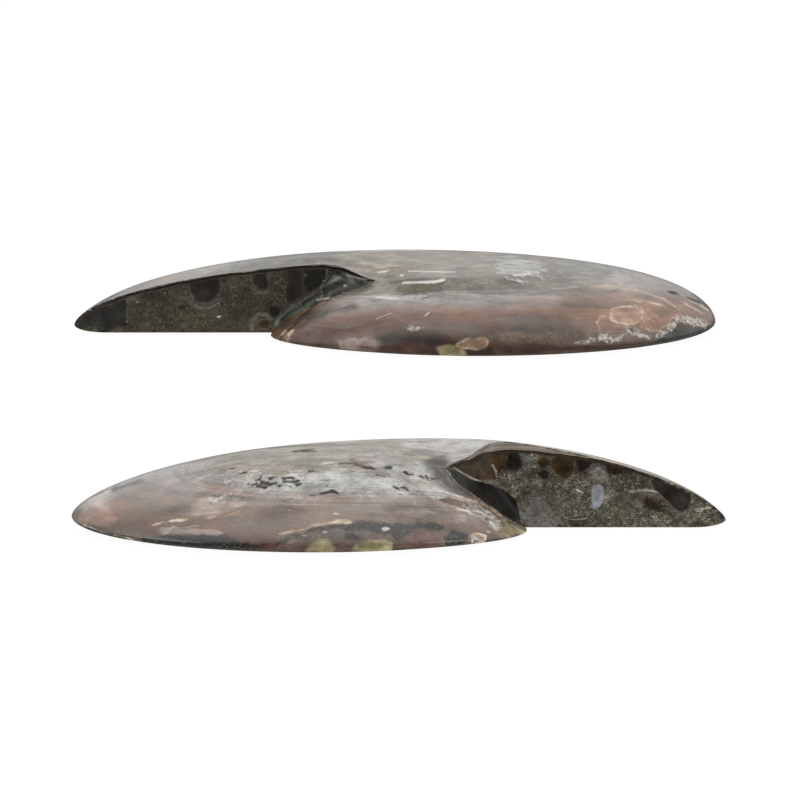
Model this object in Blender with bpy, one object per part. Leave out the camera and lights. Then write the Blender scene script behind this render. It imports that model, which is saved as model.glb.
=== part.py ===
"""Pair of polished ammonites: the two mirrored halves of one split and polished fossil shell.

Each half lies on its flat cut face. Seen from above it is a logarithmic spiral, seen from the side a low
polished dome that thins out to a keel. The last whorl ends at the mouth, a ground face that stands across
it, and a hollow is ground where that face meets the whorl in front of it. Metres, +Z up.
"""

import math

import bmesh
import bpy
import numpy as np

MM = 0.001

# The spiral, which grows by this much in each whorl
WHORL_GROWTH = 2.11
TIGHTNESS = math.log(WHORL_GROWTH) / (2 * math.pi)

# The keel, which the polishing left blunt and a little clear of the surface that the half lies on
KEEL_HEIGHT = 1.5 * MM
KEEL_UNDERCUT = 6.0 * MM
KEEL_FADE_START = math.radians(290)

# The middle of the dome is part of a round cap. Past the notch it turns into the whorl's own section, over
# this share of the notch's radius.
CAP_BLEND = 0.6

# The polishing took a little off the last whorl near its mouth
TRIM_REACH = math.radians(16)

# The ground flat beside the mouth, on the whorl in front of it
CHAMFER_START = math.radians(275)
CHAMFER_END = math.radians(350)
CHAMFER_BLEND = 0.15

# The mouth's top edge depends on the dome's height, which depends on it, so it is found in a few passes
EDGE_PASSES = 4

# The hollow's foot curves and bulges forward, and the hollow narrows as it runs down to the keel
FOOT_CURVE = 1.5
HOLLOW_BULGE = 1.5 * MM
HOLLOW_TAPER = 1.8
HOLLOW_BEND = 2.2

# How finely the surfaces are faceted. Rings crowd towards the keel, and the mouth's rows towards the hollow.
TURN_STEPS = 72
CORE_RINGS = 4
FLANK_RINGS = 13
RING_CROWDING = 1.2
KEEL_STEPS = 3
MOUTH_STEPS = 8
ROW_CROWDING = 1.6
MERGE_DISTANCE = 0.001 * MM
SHARP_ANGLE = math.radians(35)

# What differs between the halves, because each was ground and polished on its own. side is -1 where the
# mouth is on the left and 1 where it is on the right. A crown is a height above the cut face: at the spiral's
# centre, of the whorl at its mouth, and of the whorl at its back. A section has a fullness, which differs at
# the mouth, and a shoulder. The trims are what the polishing took off the keel and the crown at the mouth.
# The mouth's top edge runs straight, and bends to the notch over edge_bend times the notch's own distance.
# The ground flat beside the mouth falls from chamfer_top to the keel, straight where its curve is 1.
REAR_HALF = {
    "name": "ammonite_half_rear",
    "side": -1,
    "centre": (10.0 * MM, 151.0 * MM),
    "mouth_radius": 73.0 * MM,
    "keel_trim": 0.4 * MM,
    "crown": 13.0 * MM,
    "mouth_crown": 15.1 * MM,
    "back_crown": 11.8 * MM,
    "crown_trim": 1.2 * MM,
    "cap_radius": 50.0 * MM,
    "fullness": 3.65,
    "mouth_fullness": 2.15,
    "shoulder": 0.57,
    "notch": (14.0 * MM, -8.0 * MM),
    "notch_dip": 1.8 * MM,
    "dip_reach": 9.0 * MM,
    "edge_bend": 0.9,
    "chamfer_top": 10.8 * MM,
    "chamfer_curve": 0.72,
    "mouth_lean": math.radians(4),
    "hollow_width": 0.044,
}
FRONT_HALF = {
    "name": "ammonite_half_front",
    "side": 1,
    "centre": (-10.9 * MM, -147.3 * MM),
    "mouth_radius": 71.5 * MM,
    "keel_trim": 0.8 * MM,
    "crown": 14.6 * MM,
    "mouth_crown": 17.3 * MM,
    "back_crown": 13.5 * MM,
    "crown_trim": 0.9 * MM,
    "cap_radius": 53.6 * MM,
    "fullness": 1.85,
    "mouth_fullness": 2.4,
    "shoulder": 0.68,
    "notch": (18.4 * MM, -8.0 * MM),
    "notch_dip": 0.6 * MM,
    "dip_reach": 2.6 * MM,
    "edge_bend": 0.5,
    "chamfer_top": 11.2 * MM,
    "chamfer_curve": 1.2,
    "mouth_lean": math.radians(32),
    "hollow_width": 0.060,
}

SHELL_BROWN = (0.20, 0.16, 0.13, 1.0)
STONE_GREY = (0.22, 0.19, 0.17, 1.0)
POLISH_ROUGHNESS = 0.25


def smooth_step(value):
    """0 below 0, 1 above 1, and a smooth rise between."""
    share = np.clip(value, 0.0, 1.0)
    return share * share * (3 - 2 * share)


def near_mouth(turn):
    """1 at the mouth, falling to 0 where the polishing left the whorl whole."""
    return 1 - smooth_step(turn / TRIM_REACH)


def mouth_fade(turn):
    """1 at the mouth and 0 half a turn back, staying near 0 to the end of the turn."""
    whorls = turn / (2 * math.pi)
    return 1 - 3 * whorls + 2 * whorls**2


def keel_radius(half, turn):
    """Distance of the keel from the spiral's centre, at an angle back from the mouth."""
    return half["mouth_radius"] * np.exp(-TIGHTNESS * turn) - half["keel_trim"] * near_mouth(turn)


def keel_lift(turn):
    """1 along most of the keel, falling to 0 where the keel runs under the last whorl."""
    return 1 - smooth_step((turn - KEEL_FADE_START) / (2 * math.pi - KEEL_FADE_START))


def plan(radius, turn):
    """Plan position at a radius and an angle back from the mouth, with the mouth towards +X."""
    return radius * np.cos(turn), radius * np.sin(turn)


def dome_height(half, radius, turn):
    """Height of the polished dome above the cut face."""
    notch_x, notch_y = half["notch"]
    notch_radius = math.hypot(notch_x, notch_y)
    past_notch = radius / notch_radius - 1
    spread = smooth_step(past_notch / CAP_BLEND)
    keel = keel_radius(half, turn)
    reach = half["cap_radius"] + (keel - half["cap_radius"]) * spread
    mouth_share = mouth_fade(turn)
    whorl_crown = half["back_crown"] + (half["mouth_crown"] - half["back_crown"]) * mouth_share
    whorl_crown = whorl_crown - half["crown_trim"] * near_mouth(turn)
    crown = half["crown"] + (whorl_crown - half["crown"]) * spread
    fullness = half["fullness"] + (half["mouth_fullness"] - half["fullness"]) * mouth_share * spread
    lift = KEEL_HEIGHT * (1 + (keel_lift(turn) - 1) * spread)
    share = np.clip(radius / reach, 0.0, 1.0)
    height = lift + (crown - lift) * (1 - share**fullness) ** half["shoulder"]

    x, y = plan(radius, turn)
    away = ((x - notch_x) ** 2 + (y - notch_y) ** 2) / half["dip_reach"] ** 2
    height = height - half["notch_dip"] * np.exp(-away) * (1 - spread)

    ground = smooth_step((turn - CHAMFER_START) / (CHAMFER_END - CHAMFER_START))
    ground = ground * smooth_step(past_notch / CHAMFER_BLEND)
    down = np.clip((radius - notch_radius) / (keel - notch_radius), 0.0, 1.0)
    chamfer = lift + (half["chamfer_top"] - lift) * (1 - down) ** half["chamfer_curve"]
    return height + ground * np.minimum(chamfer - height, 0.0)


def seam(half, share):
    """Both sides of the mouth's seam, from the notch (share 0) to the keel (share 1), as (radius, turn)."""
    notch_x, notch_y = half["notch"]
    lean = math.tan(half["mouth_lean"])

    edge_x = notch_x + (keel_radius(half, 0.0) - notch_x) * share
    straight = smooth_step((edge_x - notch_x) / (half["edge_bend"] * notch_x))
    edge_y = notch_y * (1 - straight)
    for _ in range(EDGE_PASSES):
        radius, turn = np.hypot(edge_x, edge_y), np.arctan2(edge_y, edge_x)
        above = np.maximum(dome_height(half, radius, turn) - KEEL_HEIGHT, 0.0)
        edge_y = notch_y * (1 - straight) + lean * above * straight
    edge = np.hypot(edge_x, edge_y), np.arctan2(edge_y, edge_x)

    corner = keel_radius(half, 2 * math.pi)
    foot_x = notch_x + (corner - notch_x) * share
    bulge = HOLLOW_BULGE * np.sin(math.pi * share)
    foot_y = np.where(share >= 1.0, 0.0, notch_y * (1 - share**FOOT_CURVE) - bulge)
    foot = np.hypot(foot_x, foot_y), np.arctan2(foot_y, foot_x) + 2 * math.pi
    return edge, foot


def dome_rings(half):
    """Rings of points from the dome's centre out to the keel. A ring past the notch is open at the mouth."""
    notch_x, notch_y = half["notch"]
    notch_radius = math.hypot(notch_x, notch_y)
    notch_turn = math.atan2(notch_y, notch_x)
    along = np.linspace(0.0, 1.0, TURN_STEPS + 1)
    rings = []
    for ring in range(1, CORE_RINGS + 1):
        turn = notch_turn + 2 * math.pi * along
        radius = np.full_like(turn, notch_radius * ring / CORE_RINGS)
        rings.append(ring_points(half, radius, turn))
    for ring in range(1, FLANK_RINGS + 1):
        share = math.sin(0.5 * math.pi * ring / FLANK_RINGS) ** RING_CROWDING
        (r_edge, a_edge), (r_foot, a_foot) = seam(half, np.float64(share))
        turn = a_edge + (a_foot - a_edge) * along
        from_keel = r_edge / keel_radius(half, a_edge)
        to_keel = r_foot / keel_radius(half, a_foot)
        radius = keel_radius(half, turn) * from_keel * (to_keel / from_keel) ** along
        rings.append(ring_points(half, radius, turn))
    return rings


def ring_points(half, radius, turn):
    """Points of the dome, as rows of X, Y and Z."""
    x, y = plan(radius, turn)
    return np.column_stack([x, y, dome_height(half, radius, turn)])


def keel_rows(half, rim):
    """Rows of points that round the keel under, from the rim to the edge of the flat cut face."""
    turn = 2 * math.pi * np.linspace(0.0, 1.0, TURN_STEPS + 1)
    lift = keel_lift(turn)
    rows = []
    for step in range(1, KEEL_STEPS + 1):
        bend = 0.5 * math.pi * step / KEEL_STEPS
        radius = keel_radius(half, turn) - KEEL_UNDERCUT * lift * (1 - math.cos(bend))
        x, y = plan(radius, turn)
        rows.append(np.column_stack([x, y, rim[:, 2] * (1 - math.sin(bend))]))
    return rows


def mouth_rows(half, rings, keel_edge):
    """Rows of points over the ground hollow and the mouth's face, from the front whorl up to the edge."""
    lean = math.tan(half["mouth_lean"])
    rows = []
    for ring in rings[CORE_RINGS:-1]:
        foot, edge = ring[-1], ring[0]
        share = (foot[0] - half["notch"][0]) / (rings[-1][-1][0] - half["notch"][0])
        bend_end = min(1.0, half["hollow_width"] * share**-HOLLOW_TAPER)
        row = []
        for step in range(1, MOUTH_STEPS + KEEL_STEPS):
            rise = (step / (MOUTH_STEPS + KEEL_STEPS)) ** ROW_CROWDING
            point = foot + (edge - foot) * rise
            back = 1 - max(0.0, 1 - rise / bend_end) ** HOLLOW_BEND
            face_y = edge[1] - lean * (max(edge[2], KEEL_HEIGHT) - max(point[2], KEEL_HEIGHT))
            point[1] = foot[1] + (face_y - foot[1]) * back
            row.append(point)
        rows.append([foot, *row, edge])
    corner, tip = rings[-1][-1], rings[-1][0]
    flat = [corner + (keel_edge[-1] - corner) * step / MOUTH_STEPS for step in range(1, MOUTH_STEPS)]
    rows.append([corner, *flat, *keel_edge[::-1], tip])
    return rows


def half_shell(half, material):
    """One half as a closed mesh object, with its place in the object's location."""
    mesh = bpy.data.meshes.new(half["name"])
    shell = bmesh.new()

    def verts(points):
        return [shell.verts.new(point) for point in points]

    def quads(first, second):
        for a, b, c, d in zip(first[:-1], first[1:], second[1:], second[:-1]):
            shell.faces.new((a, b, c, d))

    rings = dome_rings(half)
    keel = keel_rows(half, rings[-1])
    ring_verts = [verts(ring) for ring in rings]
    centre = shell.verts.new((0.0, 0.0, float(dome_height(half, np.float64(0.0), np.float64(0.0)))))
    for a, b in zip(ring_verts[0][:-1], ring_verts[0][1:]):
        shell.faces.new((centre, a, b))
    for inner, outer in zip(ring_verts[:-1], ring_verts[1:]):
        quads(inner, outer)

    keel_verts = [ring_verts[-1], *(verts(row) for row in keel)]
    for upper, lower in zip(keel_verts[:-1], keel_verts[1:]):
        quads(upper, lower)

    keel_edge = [row[0] for row in keel]
    mouth = [verts(row) for row in mouth_rows(half, rings, keel_edge)]
    notch = ring_verts[CORE_RINGS - 1][0]
    for a, b in zip(mouth[0][:-1], mouth[0][1:]):
        shell.faces.new((notch, a, b))
    for upper, lower in zip(mouth[:-1], mouth[1:]):
        quads(upper, lower)

    flat_steps = mouth[-1][1:MOUTH_STEPS]
    shell.faces.new([*keel_verts[-1], *flat_steps])

    bmesh.ops.remove_doubles(shell, verts=shell.verts, dist=MERGE_DISTANCE)
    bmesh.ops.triangulate(shell, faces=shell.faces)
    bmesh.ops.scale(shell, verts=shell.verts, vec=(half["side"], 1, 1))
    bmesh.ops.recalc_face_normals(shell, faces=shell.faces)
    shell.to_mesh(mesh)
    shell.free()
    mesh.materials.append(material)
    mesh.shade_smooth()
    mesh.set_sharp_from_angle(angle=SHARP_ANGLE)

    obj = bpy.data.objects.new(half["name"], mesh)
    obj.location = (*half["centre"], 0.0)
    bpy.context.scene.collection.objects.link(obj)
    return obj


def polished_fossil(name, colour):
    """Fossil shell and stone polished to a shine."""
    material = bpy.data.materials.new(name)
    material.use_nodes = True
    shader = material.node_tree.nodes["Principled BSDF"]
    shader.inputs["Base Color"].default_value = colour
    shader.inputs["Roughness"].default_value = POLISH_ROUGHNESS
    shader.inputs["Metallic"].default_value = 0.0
    return material


def centre_pair(halves):
    """Move both halves by the same step, so that the pair is centred on the origin in plan."""
    for axis in (0, 1):
        reach = [half.location[axis] + vert.co[axis] for half in halves for vert in half.data.vertices]
        step = 0.5 * (min(reach) + max(reach))
        for half in halves:
            half.location[axis] -= step


def clear_scene():
    for obj in list(bpy.data.objects):
        bpy.data.objects.remove(obj)


def main():
    clear_scene()
    rear = half_shell(REAR_HALF, polished_fossil("polished_fossil_rear", SHELL_BROWN))
    front = half_shell(FRONT_HALF, polished_fossil("polished_fossil_front", STONE_GREY))
    centre_pair([rear, front])


main()
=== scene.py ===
"""Pair of polished ammonites: the looks of the two halves of one split fossil shell."""

import math

import bmesh
import bpy
import numpy as np
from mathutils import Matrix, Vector


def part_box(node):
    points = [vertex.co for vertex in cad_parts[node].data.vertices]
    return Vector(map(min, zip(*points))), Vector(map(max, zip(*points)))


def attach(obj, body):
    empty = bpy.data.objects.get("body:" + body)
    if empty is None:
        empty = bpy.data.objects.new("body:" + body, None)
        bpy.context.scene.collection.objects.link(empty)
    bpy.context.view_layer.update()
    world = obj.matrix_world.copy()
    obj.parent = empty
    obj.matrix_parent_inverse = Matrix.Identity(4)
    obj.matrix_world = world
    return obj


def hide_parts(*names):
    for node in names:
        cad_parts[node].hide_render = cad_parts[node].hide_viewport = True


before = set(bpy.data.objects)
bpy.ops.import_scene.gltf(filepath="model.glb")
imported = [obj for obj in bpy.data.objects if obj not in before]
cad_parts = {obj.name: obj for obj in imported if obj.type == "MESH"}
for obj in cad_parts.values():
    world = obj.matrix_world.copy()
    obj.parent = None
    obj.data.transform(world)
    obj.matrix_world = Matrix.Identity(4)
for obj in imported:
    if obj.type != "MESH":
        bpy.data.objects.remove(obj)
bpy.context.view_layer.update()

# The coiled shell. An ammonite's tube winds in a logarithmic spiral, so each whorl is the one before it,
# enlarged. The halves were sawn apart through the coil, and each was ground to a low dome and polished, so
# the two share the spiral and differ a little in their sections.
MM = 0.001
WHORL_GROWTH = 2.11
TIGHTNESS = math.log(WHORL_GROWTH) / (2 * math.pi)

# The keel, blunt and a little clear of the ground, except where it runs under the last whorl
KEEL_HEIGHT = 1.5 * MM
KEEL_UNDERCUT = 6.0 * MM
KEEL_FADE_START = math.radians(290)

# The middle of the dome is a round cap, which turns into the whorl's section over this share of the notch's
# radius. The polishing took a little off the last whorl, up to this angle back from the mouth.
CAP_BLEND = 0.6
TRIM_REACH = math.radians(16)

# The ground flat beside the mouth, on the whorl in front of it
CHAMFER_START = math.radians(275)
CHAMFER_END = math.radians(350)
CHAMFER_BLEND = 0.15

# The mouth's top edge depends on the dome's height, which depends on it, so it is found in a few passes.
# The hollow's foot curves and bulges forward, and the hollow narrows as it runs down to the keel.
EDGE_PASSES = 4
FOOT_CURVE = 1.5
HOLLOW_BULGE = 1.5 * MM
HOLLOW_TAPER = 1.8
HOLLOW_BEND = 2.2


def smooth_step(value):
    """0 below 0, 1 above 1, and 3 v squared less 2 v cubed between."""
    share = np.clip(value, 0.0, 1.0)
    return share * share * (3 - 2 * share)


def near_mouth(turn):
    """1 at the mouth, falling to 0 at the end of the stretch that the polishing trimmed."""
    return 1 - smooth_step(turn / TRIM_REACH)


def mouth_fade(turn):
    """1 less 3 w and plus 2 w squared, where w counts the whorls back from the mouth."""
    whorls = turn / (2 * math.pi)
    return 1 - 3 * whorls + 2 * whorls**2


def keel_radius(half, turn):
    """The keel's radius: the mouth's radius times e to the power of minus tightness times turn, less the trim."""
    return half["mouth_radius"] * np.exp(-TIGHTNESS * turn) - half["keel_trim"] * near_mouth(turn)


def keel_lift(turn):
    """1 along most of the keel, falling to 0 where the keel runs under the last whorl."""
    return 1 - smooth_step((turn - KEEL_FADE_START) / (2 * math.pi - KEEL_FADE_START))


def dome_height(half, radius, turn):
    """Height of the dome: lift plus crown times (1 less share to the fullness) to the shoulder.

    share is the radius over the reach, which is the cap's own radius in the middle and the keel's outside.
    A round dip is taken out at the notch, and a cone that falls straight to the keel beside the mouth.
    """
    notch_x, notch_y = half["notch"]
    notch_radius = math.hypot(notch_x, notch_y)
    past_notch = radius / notch_radius - 1
    spread = smooth_step(past_notch / CAP_BLEND)
    keel = keel_radius(half, turn)
    reach = half["cap_radius"] + (keel - half["cap_radius"]) * spread
    mouth_share = mouth_fade(turn)
    whorl_crown = half["back_crown"] + (half["mouth_crown"] - half["back_crown"]) * mouth_share
    whorl_crown = whorl_crown - half["crown_trim"] * near_mouth(turn)
    crown = half["crown"] + (whorl_crown - half["crown"]) * spread
    fullness = half["fullness"] + (half["mouth_fullness"] - half["fullness"]) * mouth_share * spread
    lift = KEEL_HEIGHT * (1 + (keel_lift(turn) - 1) * spread)
    share = np.clip(radius / reach, 0.0, 1.0)
    height = lift + (crown - lift) * (1 - share**fullness) ** half["shoulder"]

    x, y = radius * np.cos(turn), radius * np.sin(turn)
    away = ((x - notch_x) ** 2 + (y - notch_y) ** 2) / half["dip_reach"] ** 2
    height = height - half["notch_dip"] * np.exp(-away) * (1 - spread)

    ground = smooth_step((turn - CHAMFER_START) / (CHAMFER_END - CHAMFER_START))
    ground = ground * smooth_step(past_notch / CHAMFER_BLEND)
    down = np.clip((radius - notch_radius) / (keel - notch_radius), 0.0, 1.0)
    chamfer = lift + (half["chamfer_top"] - lift) * (1 - down) ** half["chamfer_curve"]
    return height + ground * np.minimum(chamfer - height, 0.0)


def seam(half, share):
    """Radius and turn of the mouth's top edge and of its foot, from the notch (share 0) to the keel (share 1)."""
    notch_x, notch_y = half["notch"]
    lean = math.tan(half["mouth_lean"])
    edge_x = notch_x + (keel_radius(half, 0.0) - notch_x) * share
    straight = smooth_step((edge_x - notch_x) / (half["edge_bend"] * notch_x))
    edge_y = notch_y * (1 - straight)
    for _ in range(EDGE_PASSES):
        radius, turn = np.hypot(edge_x, edge_y), np.arctan2(edge_y, edge_x)
        above = np.maximum(dome_height(half, radius, turn) - KEEL_HEIGHT, 0.0)
        edge_y = notch_y * (1 - straight) + lean * above * straight
    edge = np.hypot(edge_x, edge_y), np.arctan2(edge_y, edge_x)

    corner = keel_radius(half, 2 * math.pi)
    foot_x = notch_x + (corner - notch_x) * share
    bulge = HOLLOW_BULGE * np.sin(math.pi * share)
    foot_y = np.where(share >= 1.0, 0.0, notch_y * (1 - share**FOOT_CURVE) - bulge)
    foot = np.hypot(foot_x, foot_y), np.arctan2(foot_y, foot_x) + 2 * math.pi
    return edge, foot


# The mesh of a half. It is one closed skin of four stretches of grid: the dome, the keel that rounds under
# it, the mouth's face with the hollow at its foot, and the flat sawn face that it lies on. They are welded.
TURN_STEPS = 360
CORE_RINGS = 30
FLANK_RINGS = 76
KEEL_STEPS = 8
MOUTH_STEPS = 40
BASE_RINGS = 36
RING_CROWDING = 1.2
ROW_CROWDING = 1.25
WELD_DISTANCE = 0.002 * MM
SHARP_ANGLE = math.radians(35)

# The stretches in order, and the material of each: shell, shell, mouth and sawn face
DOME, KEEL, MOUTH, BASE = range(4)
MATERIALS_OF_STRETCHES = (0, 0, 1, 2)


def on_dome(half, radius, turn):
    """Points of the dome at whole arrays of radius and turn, with the turns kept as a fourth number."""
    height = dome_height(half, radius, turn)
    return np.stack([radius * np.cos(turn), radius * np.sin(turn), height, turn], axis=-1)


def dome_grid(half):
    """Rings from the centre out to the keel. Past the notch each is a piece of spiral that the mouth cuts open.

    A ring's radius is the keel's radius times a share, which changes evenly from the mouth's edge to its foot.
    """
    notch_x, notch_y = half["notch"]
    along = np.linspace(0.0, 1.0, TURN_STEPS + 1)[None, :]
    turn = math.atan2(notch_y, notch_x) + 2 * math.pi * along
    radius = math.hypot(notch_x, notch_y) * np.linspace(0.0, 1.0, CORE_RINGS + 1)[:, None]
    core = on_dome(half, radius + 0 * turn, turn + 0 * radius)

    ring = np.arange(1, FLANK_RINGS + 1) / FLANK_RINGS
    share = np.sin(0.5 * math.pi * ring) ** RING_CROWDING
    (r_edge, a_edge), (r_foot, a_foot) = [[v[:, None] for v in side] for side in seam(half, share)]
    turn = a_edge + (a_foot - a_edge) * along
    from_keel, to_keel = r_edge / keel_radius(half, a_edge), r_foot / keel_radius(half, a_foot)
    flank = on_dome(half, keel_radius(half, turn) * from_keel * (to_keel / from_keel) ** along, turn)
    return np.concatenate([core, flank])


def keel_grid(half, rim):
    """A quarter of an ellipse from the rim down and in to the edge of the sawn face."""
    turn = 2 * math.pi * np.linspace(0.0, 1.0, TURN_STEPS + 1)[None, :]
    bend = 0.5 * math.pi * np.arange(1, KEEL_STEPS + 1)[:, None] / KEEL_STEPS
    radius = keel_radius(half, turn) - KEEL_UNDERCUT * keel_lift(turn) * (1 - np.cos(bend))
    under = [radius * np.cos(turn), radius * np.sin(turn), rim[None, :, 2] * (1 - np.sin(bend)), turn + 0 * bend]
    return np.concatenate([rim[None], np.stack(under, axis=-1)])


def mouth_grid(half, dome, keel):
    """Rows up from the hollow's foot to the mouth's top edge, straight in X and Z and bent back in Y.

    The bend is 1 less (1 less rise over the hollow's width) to a power, and then the row follows the face.
    The last row is the line where the face meets the sawn face, and runs on up the keel's end.
    """
    lean = math.tan(half["mouth_lean"])
    foot, edge = dome[CORE_RINGS + 1 : -1, -1:, :3], dome[CORE_RINGS + 1 : -1, :1, :3]
    corner = dome[-1, -1, :3]
    share = (foot[..., 0] - half["notch"][0]) / (corner[0] - half["notch"][0])
    width = np.minimum(1.0, half["hollow_width"] * share**-HOLLOW_TAPER)
    steps = MOUTH_STEPS + KEEL_STEPS
    rise = (np.arange(steps + 1) / steps)[None, :] ** ROW_CROWDING
    rows = foot + (edge - foot) * rise[..., None]
    back = 1 - np.maximum(0.0, 1 - rise / width) ** HOLLOW_BEND
    fall = np.maximum(edge[..., 2], KEEL_HEIGHT) - np.maximum(rows[..., 2], KEEL_HEIGHT)
    rows[..., 1] = foot[..., 1] + (edge[..., 1] - lean * fall - foot[..., 1]) * back
    rows[:, -1] = edge[:, 0]
    low = corner + (keel[-1, 0, :3] - corner) * np.linspace(0.0, 1.0, MOUTH_STEPS + 1)[:, None]
    low = np.concatenate([low, keel[-2::-1, 0, :3]])
    top = np.broadcast_to(dome[CORE_RINGS, 0, :3], low.shape)
    return np.concatenate([top[None], rows, low[None]])


def base_grid(half, keel):
    """Flat circles out to the corner, and from there rings that spread out to the edge of the sawn face."""
    corner = keel_radius(half, 2 * math.pi)
    turn = 2 * math.pi * np.linspace(0.0, 1.0, TURN_STEPS + 1)[None, :]
    outer = np.hypot(keel[-1, :, 0], keel[-1, :, 1])[None, :]
    circles = corner * np.linspace(0.0, 1.0, BASE_RINGS + 1)[:-1, None] + 0 * turn
    crescent = corner + (outer - corner) * np.linspace(0.0, 1.0, MOUTH_STEPS + 1)[:, None]
    radius = np.concatenate([circles, crescent])
    return np.stack([radius * np.cos(turn), radius * np.sin(turn), 0 * radius, turn + 0 * radius], axis=-1)


def half_points(half):
    """The four grids of a half: dome, keel, mouth and sawn face."""
    dome = dome_grid(half)
    keel = keel_grid(half, dome[-1])
    return dome, keel, mouth_grid(half, dome, keel), base_grid(half, keel)


def grid_faces(rows, columns, first):
    """The quads of a grid whose points are numbered row by row from a first number."""
    corner = first + np.arange(rows - 1)[:, None] * columns + np.arange(columns - 1)[None, :]
    return np.stack([corner, corner + 1, corner + columns + 1, corner + columns], axis=-1).reshape(-1, 4)


def welded_mesh(name, half, grids, fields):
    """The grids as one closed mesh, with the fields as attributes and the number of its material on each face."""
    points = np.concatenate([grid[..., :3].reshape(-1, 3) for grid in grids]) * [half["side"], 1, 1]
    sizes = [grid.shape[0] * grid.shape[1] for grid in grids]
    starts = np.cumsum([0, *sizes[:-1]])
    faces = [grid_faces(*grid.shape[:2], first) for grid, first in zip(grids, starts)]
    kinds = np.concatenate([np.full(len(f), kind) for f, kind in zip(faces, MATERIALS_OF_STRETCHES)])

    mesh = bpy.data.meshes.new(name)
    mesh.from_pydata(points.tolist(), [], np.concatenate(faces).tolist())
    mesh.attributes.new("surface", "INT", "FACE").data.foreach_set("value", kinds.astype(np.int32))
    for field, values in fields.items():
        layer = mesh.attributes.new(field, "FLOAT", "POINT")
        layer.data.foreach_set("value", values.astype(np.float32))
    skin = bmesh.new()
    skin.from_mesh(mesh)
    bmesh.ops.remove_doubles(skin, verts=skin.verts, dist=WELD_DISTANCE)
    bmesh.ops.recalc_face_normals(skin, faces=skin.faces)
    skin.to_mesh(mesh)
    skin.free()
    kinds = np.empty(len(mesh.polygons), np.int32)
    mesh.attributes["surface"].data.foreach_get("value", kinds)
    mesh.polygons.foreach_set("material_index", kinds)
    return mesh


def fit_to_node(mesh, node):
    """Moves every point to the node's low corner plus its share of the mesh's own box times the node's box."""
    placed = np.empty(len(mesh.vertices) * 3)
    mesh.vertices.foreach_get("co", placed)
    placed = placed.reshape(-1, 3)
    low, high = [np.array(corner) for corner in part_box(node)]
    scale = (high - low) / (placed.max(0) - placed.min(0))
    placed = low + (placed - placed.min(0)) * scale
    mesh.vertices.foreach_set("co", placed.ravel())


def fossil_piece(name, half, grids, fields, materials):
    """A finished half: its mesh, smooth but for sharp edges, with its materials, on its node and body."""
    mesh = welded_mesh(name, half, grids, fields)
    fit_to_node(mesh, half["node"])
    for material in materials:
        mesh.materials.append(material)
    mesh.shade_smooth()
    mesh.set_sharp_from_angle(angle=SHARP_ANGLE)
    mesh.update()
    piece = bpy.data.objects.new(name, mesh)
    bpy.context.scene.collection.objects.link(piece)
    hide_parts(half["node"])
    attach(piece, "root")


# The markings. Polishing cut through the shell's layers to the stone that filled it, so a half is a map of
# patches with ragged edges. A few patches are painted light instead: the sheen is a painted reflection along the
# dome's tops, and the darkest patches beside the mouth's foot are painted shade. Each patch is placed here in
# millimetres, as how far a point lies inside its edge, and the materials roughen that edge and colour it. The
# charts "sight" and "mouth" are the view along the photo's sight line, with X towards the mouth and V up, and
# the chart "plan" is the view from above.
SIGHT = math.radians(7)
OUTSIDE = -9.0


def sight_height(y, z):
    """V of the sight line's chart: z times the cosine of its angle, and y times its sine."""
    return z * math.cos(SIGHT) + y * math.sin(SIGHT)


def blob(u, v, centre, size, tilt=0.0):
    """How far inside an ellipse, in mm: its smaller half width times 1 less the scaled distance."""
    c, s = math.cos(math.radians(tilt)), math.sin(math.radians(tilt))
    du, dv = u - centre[0], v - centre[1]
    scaled = np.hypot((du * c + dv * s) / size[0], (dv * c - du * s) / size[1])
    return min(size) * (1 - scaled)


def stroke(u, v, points, width):
    """How far inside a line through points, in mm: half its width less the distance to its nearest stretch."""
    inside = np.full(u.shape, OUTSIDE)
    for (u0, v0), (u1, v1) in zip(points[:-1], points[1:]):
        du, dv = u1 - u0, v1 - v0
        share = np.clip(((u - u0) * du + (v - v0) * dv) / (du * du + dv * dv), 0.0, 1.0)
        inside = np.maximum(inside, 0.5 * width - np.hypot(u - u0 - du * share, v - v0 - dv * share))
    return inside


def patch(u, v, outline):
    """How far inside a closed outline, in mm: the distance to its nearest side, negative outside.

    A point is inside if a line from it towards more u crosses the outline an odd number of times.
    """
    away = -stroke(u, v, outline + outline[:1], 0.0)
    crossings = np.zeros(u.shape, int)
    for (u0, v0), (u1, v1) in zip(outline, outline[1:] + outline[:1]):
        if v0 != v1:
            crossings += ((v0 > v) != (v1 > v)) & (u < u0 + (v - v0) * (u1 - u0) / (v1 - v0))
    return np.where(crossings % 2 == 1, away, -away)


def marked(u, v, where, shapes):
    """The largest distance inside any of the shapes, at the points where they may lie.

    A list of points is an outline, a list with a width is a line, and a centre with a size is an ellipse, to
    which a tilt in degrees may be added.
    """
    inside = np.full(u.shape, OUTSIDE)
    for shape in shapes:
        if isinstance(shape, list):
            inside = np.maximum(inside, patch(u, v, shape))
        else:
            inside = np.maximum(inside, (stroke if isinstance(shape[0], list) else blob)(u, v, *shape))
    return np.where(where, np.clip(inside, OUTSIDE, -OUTSIDE), OUTSIDE)


# The cut coil. Its septa start where the body chamber ends, and its walls are thinner inside a radius in mm.
FIRST_SEPTUM = math.radians(300)
SEPTUM_STEP = math.radians(15)
SEPTUM_BEND = -0.25
SEPTUM_LEAN = 0.3
FULL_WALL_RADIUS = 14.0
THINNEST_WALL = 0.15
INNERMOST_RADIUS = 0.05
TONE_SCATTER = (12.9898, 4.1, 43758.5453)


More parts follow.
